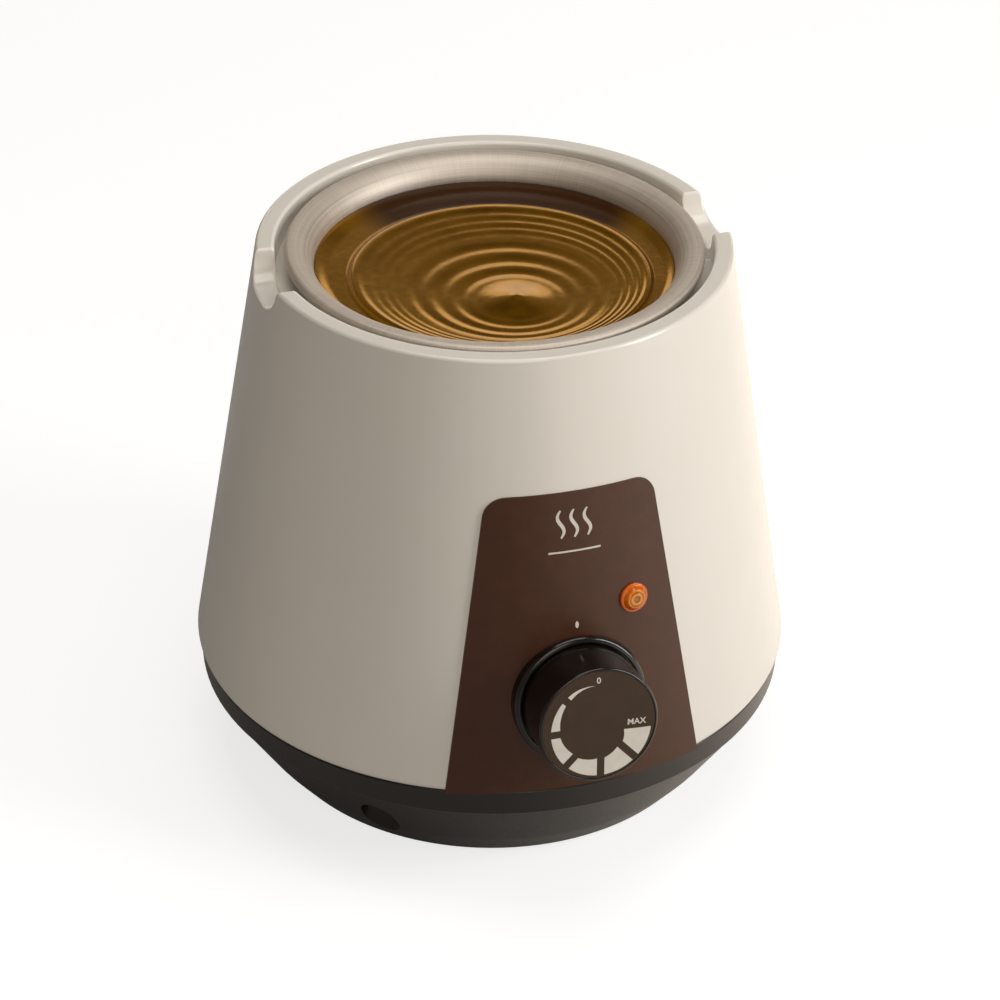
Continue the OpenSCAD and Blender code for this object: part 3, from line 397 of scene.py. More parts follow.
def mottled(tree, place, cloud_mm, grain_mm):
    """Shade and grain outputs with features of the given sizes."""
    inputs = {"Vector": place, "Cloud Scale": 1 / (cloud_mm * MM), "Grain Scale": 1 / (grain_mm * MM)}
    node = add_node(tree, "ShaderNodeGroup", inputs, node_tree=MOTTLE)
    return node.outputs["Shade"], node.outputs["Grain"]


def brushed(tree, place, line_mm, spoke_scale):
    """Line and spoke outputs of the brushing."""
    inputs = {"Vector": place, "Line Scale": 1 / (line_mm * MM), "Spoke Scale": spoke_scale}
    node = add_node(tree, "ShaderNodeGroup", inputs, node_tree=BRUSHING)
    return node.outputs["Lines"], node.outputs["Spokes"]


def embossed(tree, height, depth_mm, strength=1.0):
    """Normal of a surface with a height of the given depth in it."""
    inputs = {"Strength": strength, "Distance": depth_mm * MM, "Height": height}
    return add_node(tree, "ShaderNodeBump", inputs).outputs["Normal"]


# Size of a finish's shades over its grain, and how far its roughness varies either way
CLOUD_OVER_GRAIN = 14
ROUGH_SWING = 0.15


def moulded_finish(name, colour, shade_colour, rough, grain_mm, depth_mm, metal=0.0, coat=0.0, gleam=0.5):
    """Plastic, rubber, metal or glass wool with an uneven shade and a fine grain."""
    material, tree, shader, place = new_finish(name)
    shade, grain = mottled(tree, place, CLOUD_OVER_GRAIN * grain_mm, grain_mm)
    low, high = rough * (1 - ROUGH_SWING), rough * (1 + ROUGH_SWING)
    set_inputs(tree, shader, {
        "Base Color": colour_mix(tree, shade, colour, shade_colour),
        "Roughness": range_node(tree, grain, *NOISE_REACH, low, high),
        "Metallic": metal,
        "Coat Weight": coat,
        "Coat Roughness": 0.08,
        "Specular IOR Level": gleam,
        "Normal": embossed(tree, grain, depth_mm),
    })
    return material


def shell_finish():
    """Glossy cream plastic, a little uneven, as a large moulding is."""
    material, tree, shader, place = new_finish("gloss_cream")
    sink = mottled(tree, place, cloud_mm=80, grain_mm=30)[1]
    set_inputs(tree, shader, {
        "Base Color": colour_mix(tree, sink, tone(227, 223, 215), tone(224, 219, 210)),
        "Roughness": range_node(tree, sink, 0, 1, 0.25, 0.28, steps="LINEAR"),
        "Coat Weight": 0.6,
        "Coat Roughness": 0.07,
        "Normal": embossed(tree, sink, 0.05, 0.1),
    })
    return material


# Values that most of the brushed steel's streaks lie between, and the lines' share in them over the spokes'
STREAK_REACH = (0.35, 0.65)
LINE_SHARE = 0.65


def pot_finish():
    """Stainless steel, brushed round its axis."""
    material, tree, shader, place = new_finish("brushed_steel")
    lines, spokes = brushed(tree, place, line_mm=0.5, spoke_scale=150)
    streak = math_node(tree, "ADD", math_node(tree, "MULTIPLY", lines, LINE_SHARE),
                       math_node(tree, "MULTIPLY", spokes, 1 - LINE_SHARE))
    bright = range_node(tree, streak, *STREAK_REACH, 0, 1)
    set_inputs(tree, shader, {
        "Base Color": colour_mix(tree, bright, tone(200, 190, 178), tone(223, 214, 204)),
        "Roughness": range_node(tree, streak, *STREAK_REACH, 0.54, 0.68),
        "Metallic": 1,
        "Normal": embossed(tree, streak, 0.03, 0.5),
    })
    return material


def chocolate_finish():
    """Molten chocolate: dark brown with a painted golden sheen on its swirl, left out at the back as painted
    shade.
    """
    material, tree, shader, place = new_finish("molten_chocolate")
    shade, grain = mottled(tree, place, cloud_mm=26, grain_mm=3)
    painted_sheen = add_node(tree, "ShaderNodeAttribute", attribute_name="painted_sheen", attribute_type="GEOMETRY")
    # The golden colour and its metal are a painted sheen, dimmed a little by the shade noise
    sheen = math_node(tree, "MULTIPLY", painted_sheen.outputs["Fac"], range_node(tree, shade, 0, 1, 0.85, 1))
    set_inputs(tree, shader, {
        "Base Color": colour_mix(tree, sheen, tone(56, 32, 12), tone(176, 124, 22)),
        "Metallic": math_node(tree, "MULTIPLY", sheen, 0.95),
        "Roughness": range_node(tree, grain, *NOISE_REACH, 0.15, 0.2),
        "Specular IOR Level": 0.12,
        "Normal": embossed(tree, shade, 0.12, 0.5),
    })
    return material


def lens_finish(matrix):
    """Clear amber plastic with fine rings round the place that the matrix gives, its middle painted lighter
    as a glow and its rings painted with glints.
    """
    material, tree, shader, place = new_finish("amber_plastic")
    centred = vector_node(tree, "SUBTRACT", place, tuple(matrix.translation * MM))
    reach = vector_node(tree, "LENGTH", centred)
    wave = math_node(tree, "SINE", math_node(tree, "MULTIPLY", reach, 2 * math.pi / (LENS_RING_PITCH * MM)))
    shade, grain = mottled(tree, place, cloud_mm=5, grain_mm=0.8)
    # A painted glow in the middle with painted glints on the rings, turning to plain amber at the rim
    painted_ring_glints = range_node(tree, math_node(tree, "ADD", wave, shade), -1, 2, 0, 1)
    rim = range_node(tree, reach, LENS_GLOW_R * MM, LENS_RIM_R * MM, 0, 1)
    middle = colour_mix(tree, painted_ring_glints, tone(140, 66, 2), tone(255, 176, 44))
    set_inputs(tree, shader, {
        "Base Color": colour_mix(tree, rim, middle, tone(236, 108, 2)),
        "Roughness": range_node(tree, grain, *NOISE_REACH, 0.08, 0.14),
        "Transmission Weight": 0.25,
        "Specular IOR Level": 0.3,
        "Coat Weight": 0.25,
        "Coat Roughness": 0.04,
        "Normal": embossed(tree, wave, 0.05, 0.5),
    })
    return material


# Finish of the print and of each of the record's plainer material slots: tone, second tone, roughness,
# grain in mm, depth of the grain in mm, metal, coat, and how much it gleams where that isn't plain
SLOT_FINISHES = {
    "base_plastic": (tone(24, 14, 7), tone(21, 12, 6), 0.34, 0.7, 0.006, 0, 0, 0.6),
    "panel_plastic": (tone(70, 38, 19), tone(65, 35, 17), 0.36, 0.5, 0.004, 0, 0, 0.4),
    "knob_plastic": (tone(20, 16, 13), tone(16, 13, 10), 0.2, 0.8, 0.003, 0, 0.3, 0.4),
    "disc_plastic": (tone(62, 46, 33), tone(58, 43, 30), 0.5, 0.35, 0.004, 0, 0, 0.3),
    "lamp_plastic": (tone(38, 36, 34), tone(30, 28, 27), 0.45, 0.6, 0.02, 0, 0),
    "foot_rubber": (tone(40, 38, 37), tone(30, 29, 28), 0.85, 0.5, 0.06, 0, 0),
    "zinc_steel": (tone(190, 190, 186), tone(160, 162, 158), 0.35, 0.8, 0.02, 1, 0),
    "thermostat_steel": (tone(186, 186, 180), tone(160, 158, 150), 0.4, 0.9, 0.02, 1, 0),
    "aluminium": (tone(206, 207, 208), tone(184, 186, 188), 0.38, 0.5, 0.03, 1, 0),
    "copper": (tone(200, 124, 88), tone(156, 88, 60), 0.32, 0.9, 0.02, 1, 0),
    "brass": (tone(206, 172, 92), tone(172, 138, 66), 0.3, 0.8, 0.02, 1, 0),
    "heater_silicone": (tone(172, 74, 48), tone(148, 60, 40), 0.6, 0.8, 0.05, 0, 0),
    "glass_wool": (tone(226, 214, 168), tone(200, 186, 138), 0.95, 0.7, 0.4, 0, 0),
    "block_plastic": (tone(228, 226, 216), tone(212, 209, 198), 0.5, 0.8, 0.03, 0, 0),
    "lead_brown": (tone(104, 62, 40), tone(88, 52, 34), 0.45, 0.7, 0.02, 0, 0),
    "lead_black": (tone(40, 40, 40), tone(30, 30, 30), 0.45, 0.7, 0.02, 0, 0),
    "lead_green": (tone(76, 140, 60), tone(190, 180, 60), 0.45, 2, 0.02, 0, 0),
    "pale_print": (tone(218, 213, 203), tone(210, 205, 194), 0.5, 0.3, 0.003),
}

finishes = {slot: moulded_finish(slot, *values) for slot, values in SLOT_FINISHES.items()}
finishes["shell_plastic"] = shell_finish()
finishes["pot_steel"] = pot_finish()
finishes["chocolate"] = chocolate_finish()
lamp_frame = panel_frame(LAMP_AZ, LAMP_Z)
finishes["lens_amber"] = lens_finish(lamp_frame)
ink = finishes["pale_print"]


# Shell with its channel and finger notches


def notch_outline():
    """Height of the rim across a finger notch, at distances from its middle."""
    floor_z = TOTAL_H - NOTCH_H
    flat = NOTCH_W / 2 - NOTCH_ROUND
    across = [0.0]
    heights = [floor_z]
    for turn in np.linspace(0, NOTCH_WALL_TURN, NOTCH_CURVE_STEPS):
        across.append(flat + NOTCH_ROUND * math.sin(turn))
        heights.append(floor_z + NOTCH_ROUND * (1 - math.cos(turn)))
    lip_start = across[-1] + NOTCH_WALL_W
    for turn in np.linspace(0, math.pi / 2, NOTCH_LIP_STEPS):
        across.append(lip_start + NOTCH_LIP_ROUND * (1 - math.cos(turn)))
        heights.append(TOTAL_H - NOTCH_LIP_ROUND * (1 - math.sin(turn)))
    return across, heights


# How many times denser the shell's columns get at the notches' walls, over how many degrees, and the
# fineness of the measure that they are spread by
CROWDING = 10
CROWDING_TURN = 1.6
CROWDING_STEPS = 900


def gather_columns(bm):
    """Draws the mesh's columns together at the notches' walls."""
    wall = math.degrees(math.asin(NOTCH_W / 2 / RIM_R))
    angles = np.linspace(0, 90, CROWDING_STEPS + 1)
    density = 1 + (CROWDING - 1) * np.exp(-((angles - wall) / CROWDING_TURN) ** 2)
    # The columns are even in this measure, and dense where it grows fast with the angle
    reach = np.concatenate([[0], np.cumsum(density[1:])])
    reach *= 90 / reach[-1]
    for v in bm.verts:
        away = math.degrees(math.atan2(abs(v.co.y), abs(v.co.x)))
        turned = math.radians(np.interp(away, reach, angles))
        r = v.co.xy.length
        v.co.x = math.copysign(r * math.cos(turned), v.co.x)
        v.co.y = math.copysign(r * math.sin(turned), v.co.y)


def line_up_columns(bm):
    """Turns the columns near the notches parallel to them, fully so above the foot of the notches' ramp."""
    for v in bm.verts:
        r = v.co.xy.length
        away = math.degrees(math.atan2(abs(v.co.y), abs(v.co.x)))
        share = smooth_share(NOTCH_RAMP_Z - NOTCH_EASE_H, NOTCH_RAMP_Z, v.co.z)
        share *= 1 - smooth_share(*NOTCH_EASE_TURNS, away)
        if not share:
            continue
        v.co.y *= 1 + share * (RIM_R / r - 1)
        v.co.x = math.copysign(math.sqrt(r * r - v.co.y ** 2), v.co.x)


def sink_notches(bm):
    """Lowers the rim, its walls and the hollow under it along the notches' outline."""
    across, heights = notch_outline()
    for v in bm.verts:
        r = v.co.xy.length
        z = v.co.z
        top = float(np.interp(abs(v.co.y), across, heights))
        if top >= TOTAL_H or r < RIM_IN_R - WELD:
            continue
        outside = shell_r(z) - r < SHELL_T / 2
        if z > HOLLOW_Z + WELD or r < RIM_IN_R + WELD or outside:
            foot = CHANNEL_Z if r < RIM_IN_R + WELD else NOTCH_RAMP_Z
            if z <= foot:
                continue
            lowered = foot + (z - foot) * (top - foot) / (TOTAL_H - foot)
            share = (r - RIM_IN_R) / RIM_W if z > HOLLOW_Z + WELD and not outside else 1
            if r >= RIM_IN_R + WELD:
                r += (shell_r(lowered) - shell_r(z)) * min(1, share)
        else:
            if z <= CHANNEL_UNDER_Z:
                continue
            ceiling = top - RIM_T
            lowered = CHANNEL_UNDER_Z + (z - CHANNEL_UNDER_Z) * (
                (ceiling - CHANNEL_UNDER_Z) / (HOLLOW_Z - CHANNEL_UNDER_Z)
            )
            if r > COLLAR_R + WELD:
                r += shell_r(lowered) - shell_r(z)
        v.co.z = lowered
        v.co.x = math.copysign(math.sqrt(r * r - v.co.y ** 2), v.co.x)


# Heights of the shell's extra edges over the foot of the notches' ramp
SHELL_ROWS = (-40, -20, -8, 0, 4, 8, 12, 16)


def make_shell():
    bm = spun([
        (RIM_R, TOTAL_H, RIM_ROUND),
        (SKIRT_R, SEAM_Z, SKIRT_ROUND),
        (SKIRT_R - SHELL_DR, SEAM_Z, 0),
        (shell_r(HOLLOW_Z) - SHELL_DR, HOLLOW_Z, 0),
        (COLLAR_R, HOLLOW_Z, 0),
        (COLLAR_R, CHANNEL_UNDER_Z, 0),
        (LIP_R, CHANNEL_UNDER_Z, 0),
        (LIP_R, LIP_TOP_Z, LIP_ROUND),
        (LIP_R + LIP_T, LIP_TOP_Z, LIP_ROUND),
        (LIP_R + LIP_T, CHANNEL_Z, CHANNEL_ROUND),
        (RIM_IN_R, CHANNEL_Z, 0),
        (RIM_IN_R, TOTAL_H, RIM_ROUND),
    ], columns=SHELL_COLUMNS)
    gather_columns(bm)
    for z in [SEAM_Z + 2 * SKIRT_ROUND, *(NOTCH_RAMP_Z + row for row in SHELL_ROWS)]:
        whole = bm.verts[:] + bm.edges[:] + bm.faces[:]
        bmesh.ops.bisect_plane(bm, geom=whole, plane_co=(0, 0, z), plane_no=(0, 0, 1))
    line_up_columns(bm)
    sink_notches(bm)
    finished_piece("cream_shell", bm, finishes["shell_plastic"], "housing", ["body_shell"])


# Pot and chocolate


def make_pot():
    bead = POT_BEAD_D / 2
    bead_in_r = POT_EDGE_R - POT_BEAD_D
    bead_z = POT_CREST_Z - POT_BEAD_D
    under_z = POT_FLOOR_Z - POT_T
    bm = spun([
        (0, POT_FLOOR_Z, 0),
        (POT_FLOOR_R, POT_FLOOR_Z, POT_CORNER_R),
        (POT_R, POT_CREST_Z, POT_BEND_R),
        (POT_EDGE_R, POT_CREST_Z, bead - WELD),
        (POT_EDGE_R, bead_z, bead - WELD),
        (bead_in_r, bead_z, bead / 2),
        (bead_in_r, POT_CREST_Z - POT_T, 0),
        (POT_R + POT_T, POT_CREST_Z - POT_T, POT_BEND_R - POT_T - WELD),
        (POT_FLOOR_R + POT_T, under_z, POT_CORNER_R + POT_T),
        (0, under_z, 0),
    ], columns=POT_COLUMNS, closed=False)
    finished_piece("steel_pot", bm, finishes["pot_steel"], "lifting_pot", ["pot"])


# Radius of the swirl's fold, how far its middle lies off the pot's axis, and the turn of the whole
SWIRL_R = 61.5
SWIRL_SHIFT = Vector((9.5, -31, 0))
SWIRL_TURN = math.radians(-17.5)

# Heights and reaches of the swirl's forms. Each train of rings has a crest at its R, rises and falls between
# the given radii, and is higher on one side: EVEN is the mean share of its height and LEAN the sway of it.
MOUND_H = 3.3
MOUND_R = 12.5
TIP_H = 0.5
TIP_R = 2.2
WIDE_RING_H = 0.2
WIDE_RING_PITCH = 8.5
WIDE_RING_R = 26
WIDE_RING_RISE = (15, 22)
WIDE_RING_FALL = (38, 46)
WIDE_RING_EVEN = 0.75
WIDE_RING_LEAN = 0.3
WIDE_RING_TURN = 0.7
FINE_RING_H = 0.13
FINE_RING_PITCH = 3.9
FINE_RING_R = 40
FINE_RING_RISE = (40, 50)
FINE_RING_FALL = (60, 63)
FINE_RING_EVEN = 0.6
FINE_RING_LEAN = 0.35
DISH_H = 2.2
FOLD_H = 1.9
FOLD_W = 2.6
FOLD_LIP_H = 0.2
FOLD_LIP_W = 1.3
FOLD_LIP_INSET = 1.2
WETTING_H = 1.0
WETTING_W = 5
SWIRL_DROP = 1.3

# The painted sheen ends behind the fold, leaving the back dark as painted shade: between these radii, and
# where the surface lies back by these shares
SHEEN_REACH = (SWIRL_R - 2, SWIRL_R + 4)
SHEEN_BACK_SHARES = (0.35, 0.75)


def bell(distance, width):
    """1 at no distance, and an even fall to 0 over about twice the width."""
    return math.exp(-(distance / width) ** 2)


def rings(r, height, pitch, crest_r, rise, fall):
    """Height of rings that rise and fade out over the given radii."""
    reach = smooth_share(*rise, r) * (1 - smooth_share(*fall, r))
    return height * reach * math.cos(2 * math.pi * (r - crest_r) / pitch)


def swirl_height(r, azimuth):
    """Height of the chocolate's surface over its level, at a radius and an azimuth of the swirl."""
    wide = rings(r, WIDE_RING_H, WIDE_RING_PITCH, WIDE_RING_R, WIDE_RING_RISE, WIDE_RING_FALL)
    fine = rings(r, FINE_RING_H, FINE_RING_PITCH, FINE_RING_R, FINE_RING_RISE, FINE_RING_FALL)
    # The wide rings are highest at the back left, the fine ones on the right
    wide *= WIDE_RING_EVEN - WIDE_RING_LEAN * math.cos(azimuth + WIDE_RING_TURN)
    fine *= FINE_RING_EVEN + FINE_RING_LEAN * math.cos(azimuth)
    mound = MOUND_H * bell(r, MOUND_R) + TIP_H * bell(r, TIP_R)
    dish = DISH_H * (min(r, SWIRL_R) / SWIRL_R) ** 2
    lip = FOLD_LIP_H * bell(r - SWIRL_R + FOLD_LIP_INSET, FOLD_LIP_W)
    fold = lip - FOLD_H * smooth_share(SWIRL_R, SWIRL_R + FOLD_W, r)
    wetting = WETTING_H * smooth_share(CHOCOLATE_R - WETTING_W, CHOCOLATE_R, r)
    return mound + wide + fine + dish + fold + wetting - SWIRL_DROP


def make_chocolate():
    surface = [(CHOCOLATE_R * i / CHOCOLATE_RINGS, FILL_Z, 0) for i in range(CHOCOLATE_RINGS + 1)]
    floor = [(CHOCOLATE_FLOOR_R, CHOCOLATE_FLOOR_Z, POT_CORNER_R), (0, CHOCOLATE_FLOOR_Z, 0)]
    bm = spun(surface + floor, columns=CHOCOLATE_COLUMNS, closed=False)
    painted_sheen = bm.verts.layers.float.new("painted_sheen")
    shift = Matrix.Rotation(SWIRL_TURN, 3, "Z") @ SWIRL_SHIFT
    for v in bm.verts:
        r = v.co.xy.length
        azimuth = math.atan2(v.co.y, v.co.x) - SWIRL_TURN
        # The painted sheen, left out behind the fold at the back as painted shade
        back = max(0, math.sin(azimuth)) * smooth_share(*SHEEN_REACH, r)
        v[painted_sheen] = 1 - smooth_share(*SHEEN_BACK_SHARES, back)
        if v.co.z > FILL_Z - NEAR:
            v.co.z += swirl_height(r, azimuth)
            v.co += shift * (1 - (r / CHOCOLATE_R) ** 2)
    chocolate = finishes["chocolate"]
    finished_piece("chocolate_swirl", bm, chocolate, "lifting_pot", ["melted_chocolate"])


# Dial


def make_knob():
    under_z = DISC_Z - KNOB_TOP_T
    bm = spun([
        (0, DISC_Z, 0),
        (DISC_R, DISC_Z, 0),
        (DISC_R, KNOB_H, KNOB_EDGE_ROUND),
        (KNOB_R, KNOB_H, KNOB_ROUND - KNOB_ROUND_SLACK),
        (KNOB_R, KNOB_FOOT_Z, KNOB_EDGE_ROUND),
        (KNOB_R - KNOB_T, KNOB_FOOT_Z, 0),
        (KNOB_R - KNOB_T, under_z, KNOB_T),
        (HUB_R, under_z, HUB_ROOT_ROUND),
        (HUB_R, HUB_Z, HUB_END_ROUND),
        (0, HUB_Z, 0),
    ], closed=False)
    bmesh.ops.transform(bm, matrix=panel_frame(0, DIAL_Z), verts=bm.verts)
    finished_piece("dial_knob", bm, finishes["knob_plastic"], "dial", ["knob"])


def make_bezel():
    floor_z = FIT_GAP + BEZEL_FLOOR_T
    bm = spun([
        (BEZEL_HOLE_R, FIT_GAP, 0),
        (BEZEL_IN_R, FIT_GAP, 0),
        (BEZEL_IN_R, -BEZEL_SKIRT_H, 0),
        (BEZEL_R, -BEZEL_SKIRT_H, 0),
        (BEZEL_R, BEZEL_H, BEZEL_ROUND),
        (BEZEL_IN_R, BEZEL_H, BEZEL_EDGE_ROUND),
        (BEZEL_IN_R, floor_z, BEZEL_EDGE_ROUND),
        (BEZEL_HOLE_R, floor_z, BEZEL_EDGE_ROUND),
    ])
    frame_matrix = panel_frame(0, DIAL_Z)
    bmesh.ops.transform(bm, matrix=frame_matrix, verts=bm.verts)
    # The skirt's lower edge follows the panel's curve
    for v in bm.verts:
        place = frame_matrix.inverted() @ v.co
        if place.z < FIT_GAP - WELD and place.xy.length > BEZEL_IN_R - WELD:
            v.co.y = -math.sqrt(face_r(v.co.z) ** 2 - v.co.x ** 2) - INK_T
    finished_piece("dial_bezel", bm, finishes["knob_plastic"], "housing", ["knob_bezel"])


# The dial's printed fields: one crescent that widens from 0 to the highest setting, cut by
# straight gaps of an even width
FIELDS = 6
FIELD_SWEEP = math.radians(266.4)
FIELD_GAP = 3.2
FIELD_OUTER_R = 21.2
FIELD_INNER_SHARE = 0.46
FIELD_TIP_TURN = math.radians(6)
FIELD_TIP_R = 19.5
FIELD_MIDDLE = Vector((0.9, -1.6, 0))
FIELD_STEPS = 24


def dial_field(bm, index):
    """Sets one of the dial's fields in the mesh."""
    start = FIELD_SWEEP * index / FIELDS if index else FIELD_TIP_TURN
    end = FIELD_SWEEP * (index + 1) / FIELDS
    grid = bmesh.ops.create_grid(bm, x_segments=FIELD_STEPS, y_segments=2, size=1)["verts"]
    for v in grid:
        along = (v.co.x + 1) / 2
        turn = start + (end - start) * along
        inner = FIELD_OUTER_R * (1 - (1 - FIELD_INNER_SHARE) * turn / FIELD_SWEEP)
        outer = FIELD_OUTER_R
        if index == 0:
            # The first field runs out in a point
            inner = FIELD_TIP_R + (inner - FIELD_TIP_R) * along
            outer = FIELD_TIP_R + (outer - FIELD_TIP_R) * math.sin(along * math.pi / 2)
        r = inner + (outer - inner) * (v.co.y + 1) / 2
        gap = math.asin(FIELD_GAP / 2 / r)
        turn += gap * (1 - 2 * along) if index else -gap * along
        v.co = FIELD_MIDDLE + Vector((-r * math.sin(turn), r * math.cos(turn), 0))


# The dial's words: size of the type, how far its strokes are thickened, and the words' middles
WORD_SIZE = 3.7
WORD_WEIGHT = 0.05
ZERO_PLACE = (0.4, 19.8, 0)
MAX_PLACE = (15.9, -1.2, 0)
# The highest setting's word is square to the end of the fields, which stops short of a three-quarter turn
MAX_TURN = FIELD_SWEEP - math.radians(270)


def printed_word(bm, word, height, place, turn=0.0):
    """Sets a word of the plain built-in type in the mesh, centred at its place."""
    curve = bpy.data.curves.new(word, "FONT")
    curve.body = word
    curve.size = height
    curve.align_x = "CENTER"
    curve.align_y = "CENTER"
    curve.offset = WORD_WEIGHT
    holder = bpy.data.objects.new(word, curve)
    bpy.context.scene.collection.objects.link(holder)
    mesh = bpy.data.meshes.new_from_object(holder.evaluated_get(bpy.context.evaluated_depsgraph_get()))
    bpy.data.objects.remove(holder)
    bpy.data.curves.remove(curve)
    mesh.transform(Matrix.Translation(place) @ Matrix.Rotation(turn, 4, "Z"))
    bm.from_mesh(mesh)
    bpy.data.meshes.remove(mesh)


def extruded(bm):
    """Extrudes the whole flat mesh, and gives the new vertices."""
    raised = bmesh.ops.extrude_face_region(bm, geom=bm.faces[:])
    return [v for v in raised["geom"] if isinstance(v, bmesh.types.BMVert)]


def make_dial_face():
    disc = spun([
        (0, DISC_Z + DISC_T, 0),
        (DISC_R - FIT_GAP, DISC_Z + DISC_T, DISC_ROUND),
        (DISC_R - FIT_GAP, DISC_Z, 0),
        (0, DISC_Z, 0),
    ], closed=False)
    bmesh.ops.transform(disc, matrix=panel_frame(0, DIAL_Z), verts=disc.verts)
    finished_piece("dial_face", disc, finishes["disc_plastic"], "dial", ["dial_disc"])

    marks = bmesh.new()
    for index in range(FIELDS):
        dial_field(marks, index)
    printed_word(marks, "0", WORD_SIZE, ZERO_PLACE)
    printed_word(marks, "MAX", WORD_SIZE, MAX_PLACE, MAX_TURN)
    bmesh.ops.translate(marks, vec=(0, 0, DISC_Z + DISC_T), verts=marks.verts)
    bmesh.ops.recalc_face_normals(marks, faces=marks.faces)
    bmesh.ops.translate(marks, vec=(0, 0, INK_T), verts=extruded(marks))
    bmesh.ops.recalc_face_normals(marks, faces=marks.faces)
    bmesh.ops.transform(marks, matrix=panel_frame(0, DIAL_Z), verts=marks.verts)
    finished_piece("dial_marks", marks, ink, "dial")


# Pilot lamp


def make_lens():
    bm = spun([
        (0, LENS_H, 0),
        (LENS_TOP_R, LENS_H, LENS_TOP_ROUND),
        (LENS_R * LENS_DOME_SHARE, LENS_H - LENS_DOME_DROP, LENS_DOME_ROUND),
        (LENS_R * LENS_FOOT_SHARE, LENS_EDGE_H, LENS_FOOT_ROUND),
        (LENS_R, LENS_EDGE_H, LENS_EDGE_ROUND),
        (LENS_R, LENS_LIFT, 0),
        (LENS_TAIL_R, LENS_LIFT, 0),
        (LENS_TAIL_R, -LENS_TAIL, 0),
        (0, -LENS_TAIL, 0),
    ], columns=LENS_COLUMNS, closed=False)
    bmesh.ops.transform(bm, matrix=lamp_frame, verts=bm.verts)
    finished_piece("lamp_lens", bm, finishes["lens_amber"], "housing", ["pilot_lamp_lens"])


# Print on the panel


def on_face(x, z):
    """Point of the panel's face at the distance x from its middle line and the height z."""
    return Vector((x, -math.sqrt(face_r(z) ** 2 - x * x), z))


LINE_STEPS = 32


def face_ribbon(bm, middle, half_width, length_steps=LINE_STEPS):
    """A printed line: middle(t) gives its point (x, z), half_width(t) half its width."""
    grid = bmesh.ops.create_grid(bm, x_segments=length_steps, y_segments=1, size=1)["verts"]
    for v in grid:
        t = (v.co.x + 1) / 2
        x, z = middle(t)
        x_next, z_next = middle(t + WELD)
        along = Vector((x_next - x, z_next - z)).normalized()
        x += -along.y * v.co.y * half_width(t)
        z += along.x * v.co.y * half_width(t)
        v.co = on_face(x, z)


# Heat waves, the rule under them, and the index over the dial
WAVE_PITCH = 5.6
WAVE_SWING = 1.3
WAVE_Z = 170
WAVE_H = 12
RULE_W = 22
RULE_Z = 164
RULE_HALF_T = 0.4
INDEX_Z = 129.9
INDEX_H = 3
MARK_HALF_W = 0.75
WAVE_BLUNT_SHARE = 0.06
INDEX_BLUNT_SHARE = 0.02
INDEX_STEPS = 16


def wave_line(side):
    """Middle line of the heat wave on a side of the panel's middle."""
    return lambda t: (WAVE_PITCH * side + WAVE_SWING * math.sin(2 * math.pi * t), WAVE_Z + WAVE_H * t)


def tapered(blunt_share):
    """Half width of a mark that narrows to both ends."""
    return lambda t: MARK_HALF_W * math.sqrt(math.sin(math.pi * (blunt_share + (1 - 2 * blunt_share) * t)))


def make_panel_print():
    marks = bmesh.new()
    for side in (-1, 0, 1):
        face_ribbon(marks, wave_line(side), tapered(WAVE_BLUNT_SHARE))
    face_ribbon(marks, lambda t: (RULE_W * (t - 1 / 2), RULE_Z), lambda t: RULE_HALF_T)
    face_ribbon(marks, lambda t: (0, INDEX_Z + INDEX_H * t), tapered(INDEX_BLUNT_SHARE), INDEX_STEPS)
    bmesh.ops.recalc_face_normals(marks, faces=marks.faces)
    if sum(f.normal.y * f.calc_area() for f in marks.faces) > 0:
        bmesh.ops.reverse_faces(marks, faces=marks.faces)
    for v in extruded(marks):
        v.co += Vector((v.co.x, v.co.y, 0)).normalized() * INK_T
    bmesh.ops.recalc_face_normals(marks, faces=marks.faces)
    finished_piece("panel_marks", marks, ink, "housing")


make_shell()
make_pot()
make_chocolate()
make_knob()
make_bezel()
make_dial_face()
make_lens()
make_panel_print()

# Pieces that keep their CAD shape get their finishes
for part in frame["record"]["subparts"]:
    for slot in frame["nodes"][part["node"]].material_slots:
        slot.material = finishes[part["material_slot"]]

# Studio, in metres and watts. In reflections the floor brightens between the two FLOOR_GLOW_EDGES across it,
# and the air fades from the first to the second of AIR_STRENGTHS as the view rises between AIR_EDGES.
FLOOR_REACH = 6
FLOOR_GLOW = 0.74
FLOOR_GLOW_EDGES = (-0.08, 0.26)
WHITE = (1, 1, 1, 1)
WARM_WHITE = (1, 0.86, 0.72, 1)
WARM_AIR = (1, 0.87, 0.72, 1)
FLOOR_GREY = (0.4, 0.4, 0.4, 1)
AIR_EDGES = (0.45, 0.8)
AIR_STRENGTHS = (0.2, 0.04)
AIM = (0, 0, 0.13)
# Place, width, height, power and colour of each lamp
LAMPS = {
    "right_softbox": ((1.28, -0.9, 0.8), 0.5, 1.3, 17.5, (1, 0.99, 0.98)),
    "front_fill": ((-0.35, -1.8, 1.2), 1.2, 1.2, 9.5, (1, 0.92, 0.82)),
    "back_softbox": ((0.75, 2.4, 0.85), 2.0, 0.9, 6, (1, 0.96, 0.9)),
    "top_softbox": ((0.15, 0, 2.3), 1.6, 1.6, 21, (1, 0.96, 0.9)),
}
CAMERA_PLACE = (-0.34993, -1.12403, 0.87559)
CAMERA_TURN = (0.998866, -0.0121768, -0.2971669)
CAMERA_LENS_MM = 115.501
CAMERA_SENSOR_MM = 36


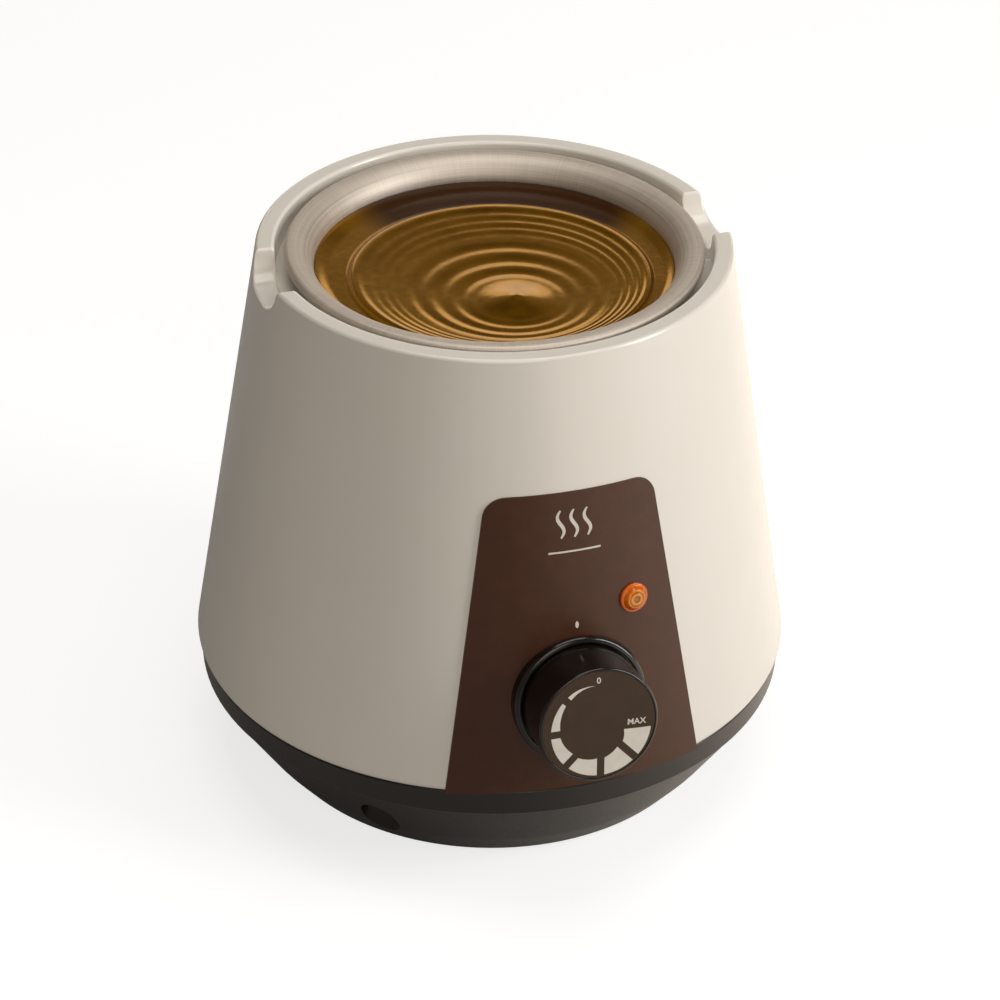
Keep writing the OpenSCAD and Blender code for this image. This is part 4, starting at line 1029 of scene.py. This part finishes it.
def make_floor():
    """A grey floor that shows white to the camera, and whose right side alone is bright in reflections."""
    bm = bmesh.new()
    bmesh.ops.create_grid(bm, x_segments=1, y_segments=1, size=FLOOR_REACH)
    mesh = bpy.data.meshes.new("studio_floor")
    bm.to_mesh(mesh)
    bm.free()
    floor = bpy.data.objects.new("studio_floor", mesh)
    bpy.context.scene.collection.objects.link(floor)
    material, tree, shader, place = new_finish("floor_paper")
    path = add_node(tree, "ShaderNodeLightPath").outputs
    across = split_vector(tree, place)["X"]
    right = range_node(tree, across, *FLOOR_GLOW_EDGES, 0, 1)
    mirrored = math_node(tree, "MULTIPLY", path["Is Glossy Ray"], right)
    seen = math_node(tree, "MULTIPLY", path["Is Camera Ray"], FLOOR_GLOW)
    set_inputs(tree, shader, {
        "Base Color": FLOOR_GREY,
        "Roughness": 0.9,
        "Specular IOR Level": 0.1,
        "Emission Color": colour_mix(tree, path["Is Camera Ray"], WARM_WHITE, WHITE),
        "Emission Strength": math_node(tree, "MAXIMUM", seen, mirrored),
    })
    mesh.materials.append(material)


def make_lamp(name, place, width, height, power, colour):
    data = bpy.data.lights.new(name, "AREA")
    data.shape = "RECTANGLE"
    data.size = width
    data.size_y = height
    data.energy = power
    data.color = colour
    lamp = bpy.data.objects.new(name, data)
    lamp.location = place
    lamp.rotation_euler = (Vector(AIM) - Vector(place)).to_track_quat("-Z", "Y").to_euler()
    bpy.context.scene.collection.objects.link(lamp)


def make_world():
    """Warm air that is darker overhead, and white where the camera looks past the floor."""
    world = bpy.data.worlds.new("studio")
    bpy.context.scene.world = world
    world.use_nodes = True
    tree = world.node_tree
    seen = add_node(tree, "ShaderNodeLightPath").outputs["Is Camera Ray"]
    upward = split_vector(tree, add_node(tree, "ShaderNodeNewGeometry").outputs["Position"])["Z"]
    glow = range_node(tree, upward, *AIR_EDGES, *AIR_STRENGTHS)
    set_inputs(tree, tree.nodes["Background"], {
        "Color": colour_mix(tree, seen, WARM_AIR, WHITE),
        "Strength": math_node(tree, "MAXIMUM", glow, seen),
    })


def make_camera():
    data = bpy.data.cameras.new("photo_camera")
    data.lens = CAMERA_LENS_MM
    data.sensor_width = CAMERA_SENSOR_MM
    camera = bpy.data.objects.new("photo_camera", data)
    camera.location = CAMERA_PLACE
    camera.rotation_euler = CAMERA_TURN
    bpy.context.scene.collection.objects.link(camera)
    bpy.context.scene.camera = camera


make_floor()
make_world()
for name, values in LAMPS.items():
    make_lamp(name, *values)
make_camera()
bpy.context.scene.view_settings.view_transform = "Standard"
